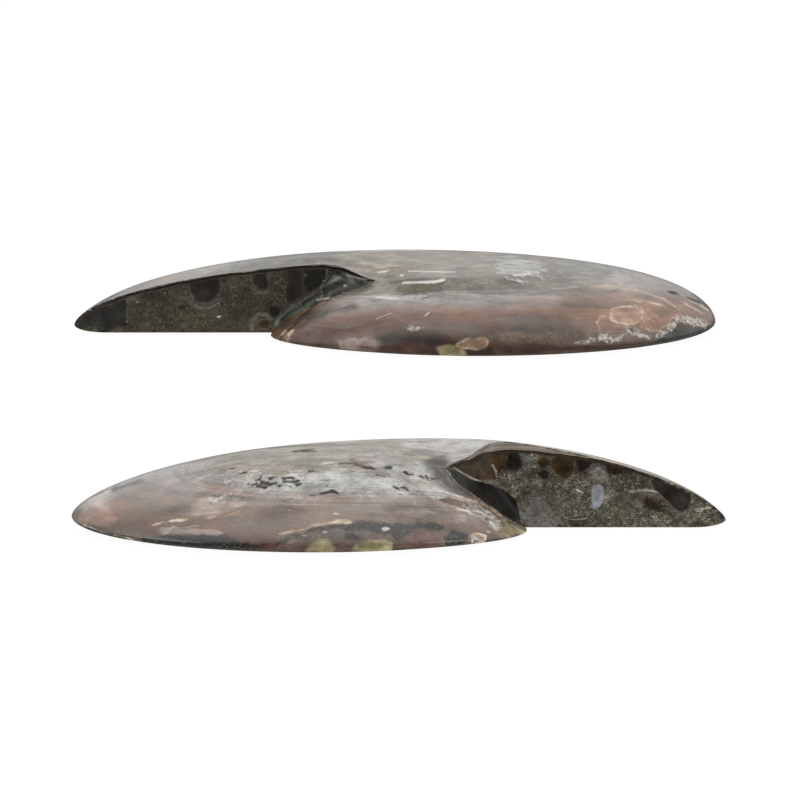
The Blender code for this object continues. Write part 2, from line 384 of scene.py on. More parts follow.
def coil_marks(half, x, y):
    """The cut coil's four fields: wall and septum in mm, the tone of each chamber, and the body chamber.

    A whorl wall lies where the log of keel over radius is a whole number of whorls. Septa follow each other
    at an even angle, each bent back in the middle of its whorl, and the body chamber, where body is 1, has none.
    The tone is what a large multiple of a sine of the septum's number leaves over a whole number.
    """
    radius = np.maximum(np.hypot(x, y), INNERMOST_RADIUS)
    turn = np.mod(np.arctan2(y, x), 2 * math.pi)
    whorls = np.log(half["mouth_radius"] / MM / radius) / math.log(WHORL_GROWTH) - turn / (2 * math.pi)
    inner = np.mod(whorls, 1.0)
    wall = np.minimum(inner, 1 - inner) * radius * math.log(WHORL_GROWTH)
    wound = turn + 2 * math.pi * np.floor(whorls) - FIRST_SEPTUM
    bend = SEPTUM_BEND * np.sin(math.pi * inner) + SEPTUM_LEAN * inner
    steps = (wound + bend) / SEPTUM_STEP
    share = np.mod(steps, 1.0)
    septum = np.minimum(share, 1 - share) * SEPTUM_STEP * radius
    septum = np.where(steps > 0, septum, -OUTSIDE)
    factor, shift, multiple = TONE_SCATTER
    tone = np.mod(np.sin(np.floor(steps) * factor + shift) * multiple, 1.0)
    finer = np.clip(radius / FULL_WALL_RADIUS, THINNEST_WALL, 1.0)
    return np.minimum(wall / finer, -OUTSIDE), np.minimum(septum / finer, -OUTSIDE), tone, 1.0 * (steps < 0)


# The colours flow along the coil. On the cap, flow runs by these shares of X and Y, and outside it by a length
# in mm for each radian and a depth in mm for the whole fall. The fall goes on past 1 where the keel rounds under.
CAP_FLOW = (2.0, 0.3)
FLOW_LENGTH = 45.0
FLOW_DEPTH = 26.0
KEEL_FALL = 0.12


def flow_fields(half, x, y, z, turn, surface):
    """The fall, which is radius over reach, the flow's two measures, and how far inside the bare middle."""
    on_shell, radius = surface <= KEEL, np.hypot(x, y)
    notch_radius = math.hypot(*half["notch"]) / MM
    spread = smooth_step((radius / notch_radius - 1) / CAP_BLEND)
    keel = keel_radius(half, turn) / MM
    cap = half["cap_radius"] / MM
    fall = radius / (cap + (keel - cap) * spread)
    keel_rows = np.repeat(np.arange(KEEL_STEPS + 1), TURN_STEPS + 1) / KEEL_STEPS
    fall[surface == KEEL] = 1 + KEEL_FALL * keel_rows
    over_u, over_v = CAP_FLOW[0] * x, CAP_FLOW[1] * y
    return {
        "fall": np.where(on_shell, fall, 0.0),
        "flow_u": np.where(on_shell, over_u + (FLOW_LENGTH * turn - over_u) * spread, x),
        "flow_v": np.where(on_shell, over_v + (FLOW_DEPTH * fall - over_v) * spread, z),
        "bare": np.where(on_shell, half["bare_radius"] - radius, OUTSIDE),
    }


# The ledge beside the mouth lies on the last part of the whorl. Its line takes one in so many of the foot's points.
LEDGE_START = 1.2 * math.pi
FOOT_STRIDE = 6


def ledge_field(half, dome, x, v, on_whorl):
    """Distance in mm from the mouth's foot, plus the ledge's width times 1 at its start and 0 at the keel."""
    foot = dome[CORE_RINGS:, -1, :3] / MM
    foot = np.stack([foot[:, 0], sight_height(foot[:, 1], foot[:, 2])], axis=-1)
    beside = -stroke(x, v, foot[::FOOT_STRIDE].tolist() + [foot[-1].tolist()], 0.0)
    start, width = half["ledge"]
    beside = beside + width * (1 - smooth_step((x - start) / (foot[-1, 0] - start)))
    return np.where(on_whorl, np.minimum(beside, -OUTSIDE), -OUTSIDE)


def mouth_lines(half, dome, x, v, on_mouth):
    """How far below the hollow's line, and how far below the brim's, which hangs from the mouth's top edge."""
    hollow = np.interp(x, *zip(*half["hollow_line"])) - v
    edge = dome[CORE_RINGS:, 0, :3] / MM
    top = np.interp(x, edge[:, 0], sight_height(edge[:, 1], edge[:, 2]))
    brim = top - v - np.interp(x, *zip(*half["brim_depth"]))
    return {
        "hollow": np.where(on_mouth, hollow, OUTSIDE),
        "brim": np.where(on_mouth, np.clip(brim, OUTSIDE, -OUTSIDE), -OUTSIDE),
    }


# A point of the dome faces the photo's camera where the chart still rises this many mm further back.
FACING_STEP = 0.5
# The fields of the marks on the shell and on the mouth's face
SHELL_MARKS = ("stone", "slate", "blush", "tan", "ashen", "shadow", "painted_shade_and_dark_marks", "painted_sheen", "chalk", "pale", "grit",
               "char", "peach", "brown", "smooth", "crumb", "rust", "maroon", "olive", "cream", "white", "crack")
MOUTH_MARKS = ("amber", "chamber", "maroon", "smooth", "ash", "pale", "lilac", "white")


def facing_sight(half, x, y, v, turn, surface):
    """Where the shell faces the photo's camera. On the keel that is the front half of the turn."""
    further = turn + np.arctan2(x * FACING_STEP, np.hypot(x, y) ** 2 + y * FACING_STEP)
    beyond = dome_height(half, np.hypot(x, y + FACING_STEP) * MM, further) / MM
    rises = sight_height(y + FACING_STEP, beyond) > v
    return (surface <= KEEL) & np.where(surface == DOME, rises, turn > math.pi)


def markings(half, grids):
    """Every field of a half, one number a point, in the order of its grids."""
    sizes = [grid.shape[0] * grid.shape[1] for grid in grids]
    points = np.concatenate([grid[..., :3].reshape(-1, 3) for grid in grids])
    x, y, z = points.T / MM
    v = sight_height(y, z)
    turn = np.concatenate([grid[..., 3:].reshape(-1) if grid.shape[-1] > 3 else np.zeros(n)
                           for grid, n in zip(grids, sizes)])
    surface = np.repeat([DOME, KEEL, MOUTH, BASE], sizes)
    on_shell, on_mouth = surface <= KEEL, surface == MOUTH

    fields = flow_fields(half, x, y, z, turn, surface)
    fields["ledge"] = ledge_field(half, grids[0], x, v, on_shell & (turn > LEDGE_START))
    fields.update(zip(("wall", "septum", "tone", "body"), coil_marks(half, x, y)))
    facing = facing_sight(half, x, y, v, turn, surface)
    for name in SHELL_MARKS:
        in_sight = marked(x, v, facing, half["sight_marks"].get(name, []))
        above = marked(x, y, on_shell, half["plan_marks"].get(name, []))
        fields[name] = np.maximum(in_sight, above)
    for name in MOUTH_MARKS:
        on_face = marked(x, v, on_mouth, half["mouth_marks"].get(name, []))
        fields[name] = np.maximum(fields.get(name, OUTSIDE), on_face)
    fields.update(mouth_lines(half, grids[0], x, v, on_mouth))
    return fields


# The materials. All three are the same fossil, sawn, ground and buffed with fine grit, so the stone has a
# glassy skin over a mottled body. Calcite's index is about 1.55. Patterns are scaled in real millimetres.
MM_PER_METRE = 1000.0
CALCITE_IOR = 1.55


def colour_of(text):
    """sRGB hex to linear: ((c + 0.055) / 1.055) to the power of 2.4 above 0.04045, else c / 12.92."""
    parts = np.array([int(text[i : i + 2], 16) for i in (1, 3, 5)]) / 255
    linear = np.where(parts > 0.04045, ((parts + 0.055) / 1.055) ** 2.4, parts / 12.92)
    return (*linear.tolist(), 1.0)


def add(tree, kind, inputs, output=0, stops=(), **settings):
    """Adds a node with its settings and its ramp's (position, hex colour) stops, and gives back one output.

    Inputs go by name or number. A socket is linked, a hex colour is turned to linear, and a number is set.
    """
    made = tree.nodes.new("ShaderNode" + kind)
    for key, value in settings.items():
        setattr(made, key, value)
    for key, value in inputs.items():
        if isinstance(value, bpy.types.NodeSocket):
            tree.links.new(value, made.inputs[key])
        else:
            made.inputs[key].default_value = colour_of(value) if isinstance(value, str) else value
    points = made.color_ramp.elements if stops else ()
    while len(points) < len(stops):
        points.new(0.5)
    for point, (position, colour) in zip(points, stops):
        point.position, point.color = position, colour_of(colour)
    return made.outputs[output]


def blend(tree, factor, colour, over, **settings):
    """One colour laid over another by a factor. Colours are sockets or hex."""
    return add(tree, "Mix", {0: factor, 6: colour, 7: over}, 2, data_type="RGBA", **settings)


def toned(tree, colour, pattern, strength, share=1.0):
    """A colour darkened where a pattern is near 0 and lightened where it is near 1, by overlay."""
    tone = add(tree, "MapRange", {0: pattern, 3: 0.5 - strength, 4: 0.5 + strength})
    return blend(tree, share, colour, tone, blend_type="OVERLAY")


def field_of(tree, name):
    """A marking's field, read from the mesh."""
    return add(tree, "Attribute", {}, 2, attribute_name=name)


# Name, scale per mm, detail, roughness, the two levels of the noise that become the last number and 1. shake
# makes the patches' edges ragged.
NOISES = (
    ("broad", 0.09, 3.0, 0.5, 0.35, 0.65, 0.0),
    ("mottle", 0.35, 7.0, 0.62, 0.33, 0.67, 0.0),
    ("dust", 1.8, 4.0, 0.65, 0.3, 0.7, 0.0),
    ("cloud", 0.14, 10.0, 0.68, 0.3, 0.7, 0.0),
    ("shake", 0.3, 6.0, 0.6, 0.25, 0.75, -1.0),
)
# Name and scale per mm of the grains, which are cells of one tone bent by noise of this scale and reach in mm
GRAINS = (("grain", 1.6), ("fine", 3.8))
GRAIN_BEND_SCALE = 0.7
GRAIN_BEND = (2.5, 2.5, 2.5)
# Name, scales per mm along and across the coil's flow, and the levels that become 0 and 1
FLOWS = (("gash", (0.16, 0.5, 0.0), 0.36, 0.4), ("streak", (0.05, 0.4, 0.0), 0.3, 0.7))


def patterns(tree):
    """The patterns that every surface shares, each from 0 to 1 but for shake, which is about -1 to 1."""
    coords = add(tree, "TexCoord", {}, "Object")
    place = add(tree, "VectorMath", {0: coords, 3: MM_PER_METRE}, operation="SCALE")
    made = {"place": place}
    for name, scale, detail, rough, low, high, least in NOISES:
        noise = add(tree, "TexNoise", {"Vector": place, "Scale": scale, "Detail": detail, "Roughness": rough})
        made[name] = add(tree, "MapRange", {0: noise, 1: low, 2: high, 3: least})
    bent = add(tree, "TexNoise", {"Vector": place, "Scale": GRAIN_BEND_SCALE, "Detail": 3.0}, 1)
    bent = add(tree, "VectorMath", {0: bent, 1: GRAIN_BEND, 2: place}, operation="MULTIPLY_ADD")
    for name, scale in GRAINS:
        cells = add(tree, "TexVoronoi", {"Vector": bent, "Scale": scale}, 1)
        made[name] = add(tree, "SeparateColor", {0: cells})
    made["speck"] = add(tree, "MapRange", {0: made["fine"], 1: 0.8, 2: 0.95})
    flow = add(tree, "CombineXYZ", {0: field_of(tree, "flow_u"), 1: field_of(tree, "flow_v")})
    for name, scales, low, high in FLOWS:
        drawn = add(tree, "VectorMath", {0: flow, 1: scales}, operation="MULTIPLY")
        noise = add(tree, "TexNoise", {"Vector": drawn, "Scale": 1.0, "Detail": 8.0, "Roughness": 0.6,
                                       "Distortion": 0.5})
        made[name] = add(tree, "MapRange", {0: noise, 1: low, 2: high})
    return made


def shaken_field(tree, made, name, ragged):
    """A field with ragged millimetres of noise on it."""
    return add(tree, "Math", {0: made["shake"], 1: ragged, 2: field_of(tree, name)}, operation="MULTIPLY_ADD")


def line_along(tree, edge, width, core):
    """1 where an edge's field is 0, and out to core times the width in mm, falling to 0 at the width."""
    away = add(tree, "Math", {0: edge}, operation="ABSOLUTE")
    return add(tree, "MapRange", {0: away, 1: width, 2: core * width})


def layered(tree, made, state, layers):
    """Paints patches in turn over (colour, roughness, height). Each is named for its field.

    A patch holds where its shaken field is above 0, and covers what is under it by its cover. Its colour
    runs from the first to the second along a pattern, and a thin rim follows its edge, broken by the mottle.
    """
    colour, rough, height = state
    for name, low, high, pattern, ragged, soft, cover, rim, rim_width, roughness, level in layers:
        edge = shaken_field(tree, made, name, ragged)
        inside = add(tree, "MapRange", {0: edge, 1: -soft, 2: soft, 4: cover})
        colour = blend(tree, inside, colour, blend(tree, made[pattern], low, high))
        if rim:
            line = line_along(tree, edge, rim_width, 0.3)
            line = add(tree, "Math", {0: line, 1: made["mottle"]}, operation="MULTIPLY")
            colour = blend(tree, line, colour, rim)
        rough = add(tree, "Mix", {0: inside, 2: rough, 3: roughness})
        height = add(tree, "Mix", {0: inside, 2: height, 3: level})
    return colour, rough, height


def start_material(name):
    """A material with its node tree and the shared patterns."""
    material = bpy.data.materials.new(name)
    material.use_nodes = True
    return material, material.node_tree, patterns(material.node_tree)


def polish(tree, colour, rough, height, relief, gloss):
    """Sets the shader: the colour, a bump of relief millimetres, and the buffed skin of calcite over it."""
    shader = tree.nodes["Principled BSDF"]
    normal = add(tree, "Bump", {"Height": height, "Distance": relief * MM})
    for key, socket in (("Base Color", colour), ("Roughness", rough), ("Normal", normal)):
        tree.links.new(socket, shader.inputs[key])
    shader.inputs["IOR"].default_value = CALCITE_IOR
    shader.inputs["Specular IOR Level"].default_value = gloss


# Name of the field, low and high colour, the pattern between them, raggedness and softness of the edge in mm,
# cover, rim colour and its width in mm, roughness, and the level that the patch is worn to.
SHELL_LAYERS = (
    ("stone", "#807462", "#a19482", "mottle", 1.3, 0.3, 0.8, None, 0, 0.2, 0.5),
    ("slate", "#353119", "#57512f", "mottle", 1.2, 0.3, 0.85, None, 0, 0.2, 0.5),
    ("blush", "#805f4c", "#a98771", "streak", 1.0, 0.6, 0.65, None, 0, 0.2, 0.5),
    ("tan", "#7c5a47", "#a5836c", "cloud", 0.6, 0.2, 0.8, "#c9b09a", 0.15, 0.2, 0.5),
    ("ashen", "#6b6a64", "#8c8a83", "streak", 1.5, 2.0, 0.65, None, 0, 0.2, 0.5),
    ("shadow", "#3a2c22", "#5f4d40", "streak", 0.8, 0.9, 0.6, None, 0, 0.2, 0.5),
    # Painted reflection: pale grey streaks laid along the dome's top silhouettes, where the polished top reflects the
    # light.
    ("painted_sheen", "#b5b2ae", "#d2cfcb", "streak", 1.0, 1.2, 0.7, None, 0, 0.15, 0.5),
    ("chalk", "#1d1b18", "#bbb9b4", "gash", 1.6, 0.2, 0.95, None, 0, 0.35, 0.45),
    ("pale", "#a08f85", "#bfb1a8", "mottle", 0.5, 0.3, 0.7, None, 0, 0.2, 0.5),
    # Painted shade and dark marks: near black, as painted shade in the recess beside the mouth's foot, and as dark
    # streaks elsewhere.
    ("painted_shade_and_dark_marks", "#0d0b09", "#2e2a25", "mottle", 0.8, 0.7, 0.85, None, 0, 0.4, 0.5),
    ("grit", "#4f4036", "#8a7868", "fine", 1.2, 0.9, 0.8, None, 0, 0.35, 0.45),
    ("char", "#1f1e1c", "#5c5954", "speck", 0.8, 0.25, 0.95, None, 0, 0.25, 0.45),
    ("peach", "#8c6a55", "#b4947d", "cloud", 0.35, 0.12, 0.95, "#d9c5ae", 0.3, 0.2, 0.5),
    ("brown", "#4c3625", "#75573f", "mottle", 0.4, 0.15, 0.9, "#a5927b", 0.15, 0.2, 0.5),
    ("smooth", "#2b2b28", "#454541", "mottle", 0.5, 0.15, 1.0, None, 0, 0.2, 0.5),
    ("crumb", "#4c443d", "#d0c6ba", "grain", 0.9, 0.15, 1.0, None, 0, 0.5, 0.3),
    ("rust", "#2f1e19", "#563a30", "mottle", 0.6, 0.4, 0.85, None, 0, 0.2, 0.5),
    ("maroon", "#4c312c", "#74554d", "mottle", 0.3, 0.2, 0.9, None, 0, 0.2, 0.5),
    ("olive", "#7d7450", "#b9ad83", "mottle", 0.3, 0.3, 0.9, None, 0, 0.2, 0.5),
    ("cream", "#ab937c", "#d0bba4", "mottle", 0.3, 0.12, 0.9, None, 0, 0.25, 0.5),
    ("white", "#cfcabf", "#f0ede6", "dust", 0.1, 0.1, 0.9, None, 0, 0.25, 0.55),
    ("crack", "#12100d", "#382f27", "dust", 0.5, 0.12, 1.0, None, 0, 0.6, 0.0),
)

# How far streaks push the colours along the fall, and how many mm of skins lie beside the mouth
STREAK_DRIFT = 0.17
SKINS_DEPTH = 5.0

# The coil's walls that show through the polish, over so many of the layers: field and half width in mm
LAYERS_UNDER_WALLS = 10
FAINT_WALLS = (("wall", 0.3), ("septum", 0.18))
FAINT_WALL_COLOUR = "#b9b2a4"

# The final tones: pattern, strength, and its share on top of the dome and on the flank. Relief is in mm.
SHELL_TONES = (("streak", 0.25, (0.45, 1.0)), ("mottle", 0.15, (1.0, 0.4)), ("cloud", 0.24, (1.0, 0.4)),
               ("dust", 0.16, (1.0, 0.4)))
SHELL_RELIEF = 0.2
SHELL_GLOSS = 0.5


def shell_material(name, look):
    """Shell and the stone under it, ground to a dome and buffed.

    The colour follows the fall from the centre to the keel, drawn out in streaks along the coil. To the eye: grey
    stone on top, mauve and brown shell down the flank, and a dark rim.
    """
    material, tree, made = start_material(name)
    shift = add(tree, "Math", {0: made["streak"], 1: 0.5}, operation="SUBTRACT")
    fall = add(tree, "Math", {0: shift, 1: STREAK_DRIFT, 2: field_of(tree, "fall")}, operation="MULTIPLY_ADD")
    fall = add(tree, "Math", {0: fall, 1: 1 + KEEL_FALL}, operation="DIVIDE")
    # The ramp's light bands on the dome's top and upper flank are partly a painted highlight, lighter than the stone
    # and shell alone.
    colour = add(tree, "ValToRGB", {0: fall}, stops=look["ramp"])
    for low, high, tint in ((0.55, 0.9, look["hue"][0]), (0.45, 0.1, look["hue"][1])):
        colour = blend(tree, add(tree, "MapRange", {0: made["streak"], 1: low, 2: high, 4: 0.35}), colour, tint)

    ledge = shaken_field(tree, made, "ledge", 0.9)
    skins = add(tree, "Math", {0: ledge, 1: SKINS_DEPTH}, operation="DIVIDE")
    skins = add(tree, "ValToRGB", {0: skins}, stops=look["skins"])
    colour = blend(tree, add(tree, "MapRange", {0: ledge, 1: 4.8, 2: 3.6}), colour, skins)

    rough = add(tree, "MapRange", {0: field_of(tree, "fall"), 1: 0.95, 2: 1.03, 3: 0.2, 4: 0.7})
    colour, *state = layered(tree, made, (colour, rough, 0.5), SHELL_LAYERS[:LAYERS_UNDER_WALLS])
    shown = add(tree, "MapRange", {0: made["broad"], 1: 0.5, 2: 0.7, 4: 0.2})
    bare = add(tree, "MapRange", {0: field_of(tree, "bare"), 1: -2.0, 2: 2.0})
    shown = add(tree, "Math", {0: shown, 1: bare}, operation="MULTIPLY")
    for field, width in FAINT_WALLS:
        line = line_along(tree, shaken_field(tree, made, field, 0.7), width, 0.5)
        line = add(tree, "Math", {0: line, 1: shown}, operation="MULTIPLY")
        colour = blend(tree, line, colour, FAINT_WALL_COLOUR)
    colour, *state = layered(tree, made, (colour, *state), SHELL_LAYERS[LAYERS_UNDER_WALLS:])
    for pattern, strength, (on_top, on_flank) in SHELL_TONES:
        share = add(tree, "MapRange", {0: field_of(tree, "fall"), 1: 0.5, 2: 0.75, 3: on_top, 4: on_flank})
        colour = toned(tree, colour, made[pattern], strength, share)
    polish(tree, colour, *state, SHELL_RELIEF, SHELL_GLOSS)
    return material


# In the same columns as the shell's
MOUTH_LAYERS = (
    ("amber", "#251a0c", "#4d3a20", "mottle", 0.4, 0.25, 1.0, "#6b5f4a", 0.3, 0.45, 0.5),
    ("chamber", "#16140f", "#2e2822", "mottle", 0.25, 0.2, 1.0, "#57524a", 0.35, 0.4, 0.5),
    ("maroon", "#211412", "#35231f", "mottle", 0.4, 0.5, 0.9, None, 0, 0.2, 0.5),
    ("smooth", "#262421", "#393632", "mottle", 0.3, 0.15, 1.0, "#6a6156", 0.2, 0.2, 0.5),
    ("ash", "#4b4a46", "#8f8d87", "fine", 0.9, 0.4, 0.7, None, 0, 0.3, 0.5),
    ("pale", "#4b4943", "#7b776d", "fine", 0.25, 0.2, 0.9, None, 0, 0.3, 0.5),
    ("lilac", "#808189", "#b0b2bb", "mottle", 0.5, 0.1, 1.0, None, 0, 0.3, 0.5),
    ("white", "#a39c8d", "#ddd8cc", "dust", 0.1, 0.1, 0.95, None, 0, 0.3, 0.5),
)
MOUTH_TONES = (("mottle", 0.16), ("cloud", 0.16))
MOUTH_RELIEF = 0.1

# The shell grit: curls to a mm and how often each winds, rings to a mm with their least and largest radius and
# half width in cells, and the colour of dark grains
CURL_SCALE = 1.3
CURL_TURNS = 7.0
RING_SCALE = 1.25
RING_RADII = (0.12, 0.45)
RING_WIDTHS = (0.09, 0.03)
DARK_GRIT = "#1d1b17"


def mouth_material(name, look):
    """The body chamber's filling: olive-brown limestone mud full of fine curled shell grit, ground and buffed."""
    material, tree, made = start_material(name)
    colour = blend(tree, made["cloud"], *look["mud"])
    gate = add(tree, "MapRange", {0: made["broad"], 1: 0.1, 2: 0.6, 3: 0.3})
    curls = add(tree, "TexNoise", {"Vector": made["place"], "Scale": CURL_SCALE, "Detail": 1.5, "Distortion": 1.2})
    curls = add(tree, "Math", {0: curls, 1: CURL_TURNS}, operation="MULTIPLY")
    curls = add(tree, "Math", {0: curls, 1: 1.0}, operation="PINGPONG")
    curls = add(tree, "MapRange", {0: curls, 1: 0.72, 2: 0.95, 4: look["curl_share"]})
    curls = add(tree, "Math", {0: curls, 1: made["mottle"]}, operation="MULTIPLY")
    rings = add(tree, "TexVoronoi", {"Vector": made["place"], "Scale": RING_SCALE})
    size = add(tree, "MapRange", {0: made["mottle"], 3: RING_RADII[0], 4: RING_RADII[1]})
    rings = add(tree, "Math", {0: add(tree, "Math", {0: rings, 1: size}, operation="SUBTRACT")}, operation="ABSOLUTE")
    rings = add(tree, "MapRange", {0: rings, 1: RING_WIDTHS[0], 2: RING_WIDTHS[1], 4: look["ring_share"]})
    rings = add(tree, "Math", {0: rings, 1: made["dust"]}, operation="MULTIPLY")
    fleck = add(tree, "MapRange", {0: made["fine"], 1: 0.74, 2: 0.92, 4: look["fleck_share"]})
    for share, tint in ((curls, look["curl"]), (rings, look["curl"]), (fleck, look["fleck"])):
        share = add(tree, "Math", {0: share, 1: gate}, operation="MULTIPLY")
        colour = blend(tree, share, colour, tint)
    dark = add(tree, "MapRange", {0: made["fine"], 1: 0.2, 2: 0.1, 4: 0.6})
    colour = blend(tree, dark, colour, DARK_GRIT)
    colour, *state = layered(tree, made, (colour, 0.25, 0.5), MOUTH_LAYERS)

    # The hollow at the mouth's foot takes the look's hollow colours: grey stone on the rear half, and near black on
    # the front half, which is painted shade in the recess.
    hollow = add(tree, "MapRange", {0: shaken_field(tree, made, "hollow", 0.4), 1: -0.2, 2: 0.2})
    not_white = add(tree, "MapRange", {0: field_of(tree, "white"), 1: -0.1, 2: 0.1, 3: 1.0, 4: 0.0})
    hollow = add(tree, "Math", {0: hollow, 1: not_white}, operation="MULTIPLY")
    colour = blend(tree, hollow, colour, blend(tree, made["mottle"], *look["hollow"]))
    for pattern, strength in MOUTH_TONES:
        colour = toned(tree, colour, made[pattern], strength)
    # The brim along the mouth's top edge: its light grey top is a painted sheen, the light of the top surface and
    # bevel above the face laid on the face; under it come streaks of shell and cream, and a thin dark line.
    brim = shaken_field(tree, made, "brim", 0.25)
    band = add(tree, "MapRange", {0: brim, 1: -1.7, 2: 2.5})
    band = toned(tree, add(tree, "ValToRGB", {0: band}, stops=look["brim"]), made["streak"], 0.25)
    colour = blend(tree, add(tree, "MapRange", {0: brim, 1: 0.9, 2: 0.4}), colour, band)
    polish(tree, colour, *state, MOUTH_RELIEF, look["mouth_gloss"])
    return material


# The chambers' colours by tone, which both halves share as they share the coil, and the walls between them:
# field, half width in mm and colour
CHAMBER_TONES = ((0.0, "#3b372d"), (0.35, "#6a5636"), (0.6, "#8d7a5c"), (0.8, "#4b4a42"), (1.0, "#9b958a"))
SAWN_WALLS = (("septum", 0.25, "#b5aa94"), ("wall", 0.45, "#c9bfab"))
SAWN_RELIEF = 0.02
SAWN_GLOSS = 0.5


def sawn_material(name, look):
    """The sawn face, lapped flat: pale walls and septa of the coil, with each chamber filled in its own colour."""
    material, tree, made = start_material(name)
    tone = add(tree, "Math", {0: made["broad"], 1: 0.3, 2: field_of(tree, "tone")}, operation="MULTIPLY_ADD")
    tone = add(tree, "Math", {0: tone, 1: 1.3}, operation="DIVIDE")
    colour = add(tree, "ValToRGB", {0: tone}, stops=CHAMBER_TONES)
    mud = blend(tree, made["grain"], look["mud"][0], look["curl"])
    body = add(tree, "Math", {0: field_of(tree, "body"), 1: 0.5}, operation="GREATER_THAN")
    colour = toned(tree, blend(tree, body, colour, mud), made["mottle"], 0.15)
    for field, width, tint in SAWN_WALLS:
        colour = blend(tree, line_along(tree, shaken_field(tree, made, field, 0.5), width, 0.5), colour, tint)
    rough = add(tree, "MapRange", {0: made["dust"], 3: 0.15, 4: 0.3})
    polish(tree, colour, rough, made["dust"], SAWN_RELIEF, SAWN_GLOSS)
    return material


# The rear half, the upper one in the photo. Its mouth opens to the left and leans back a little. It lies on
# its sawn face.

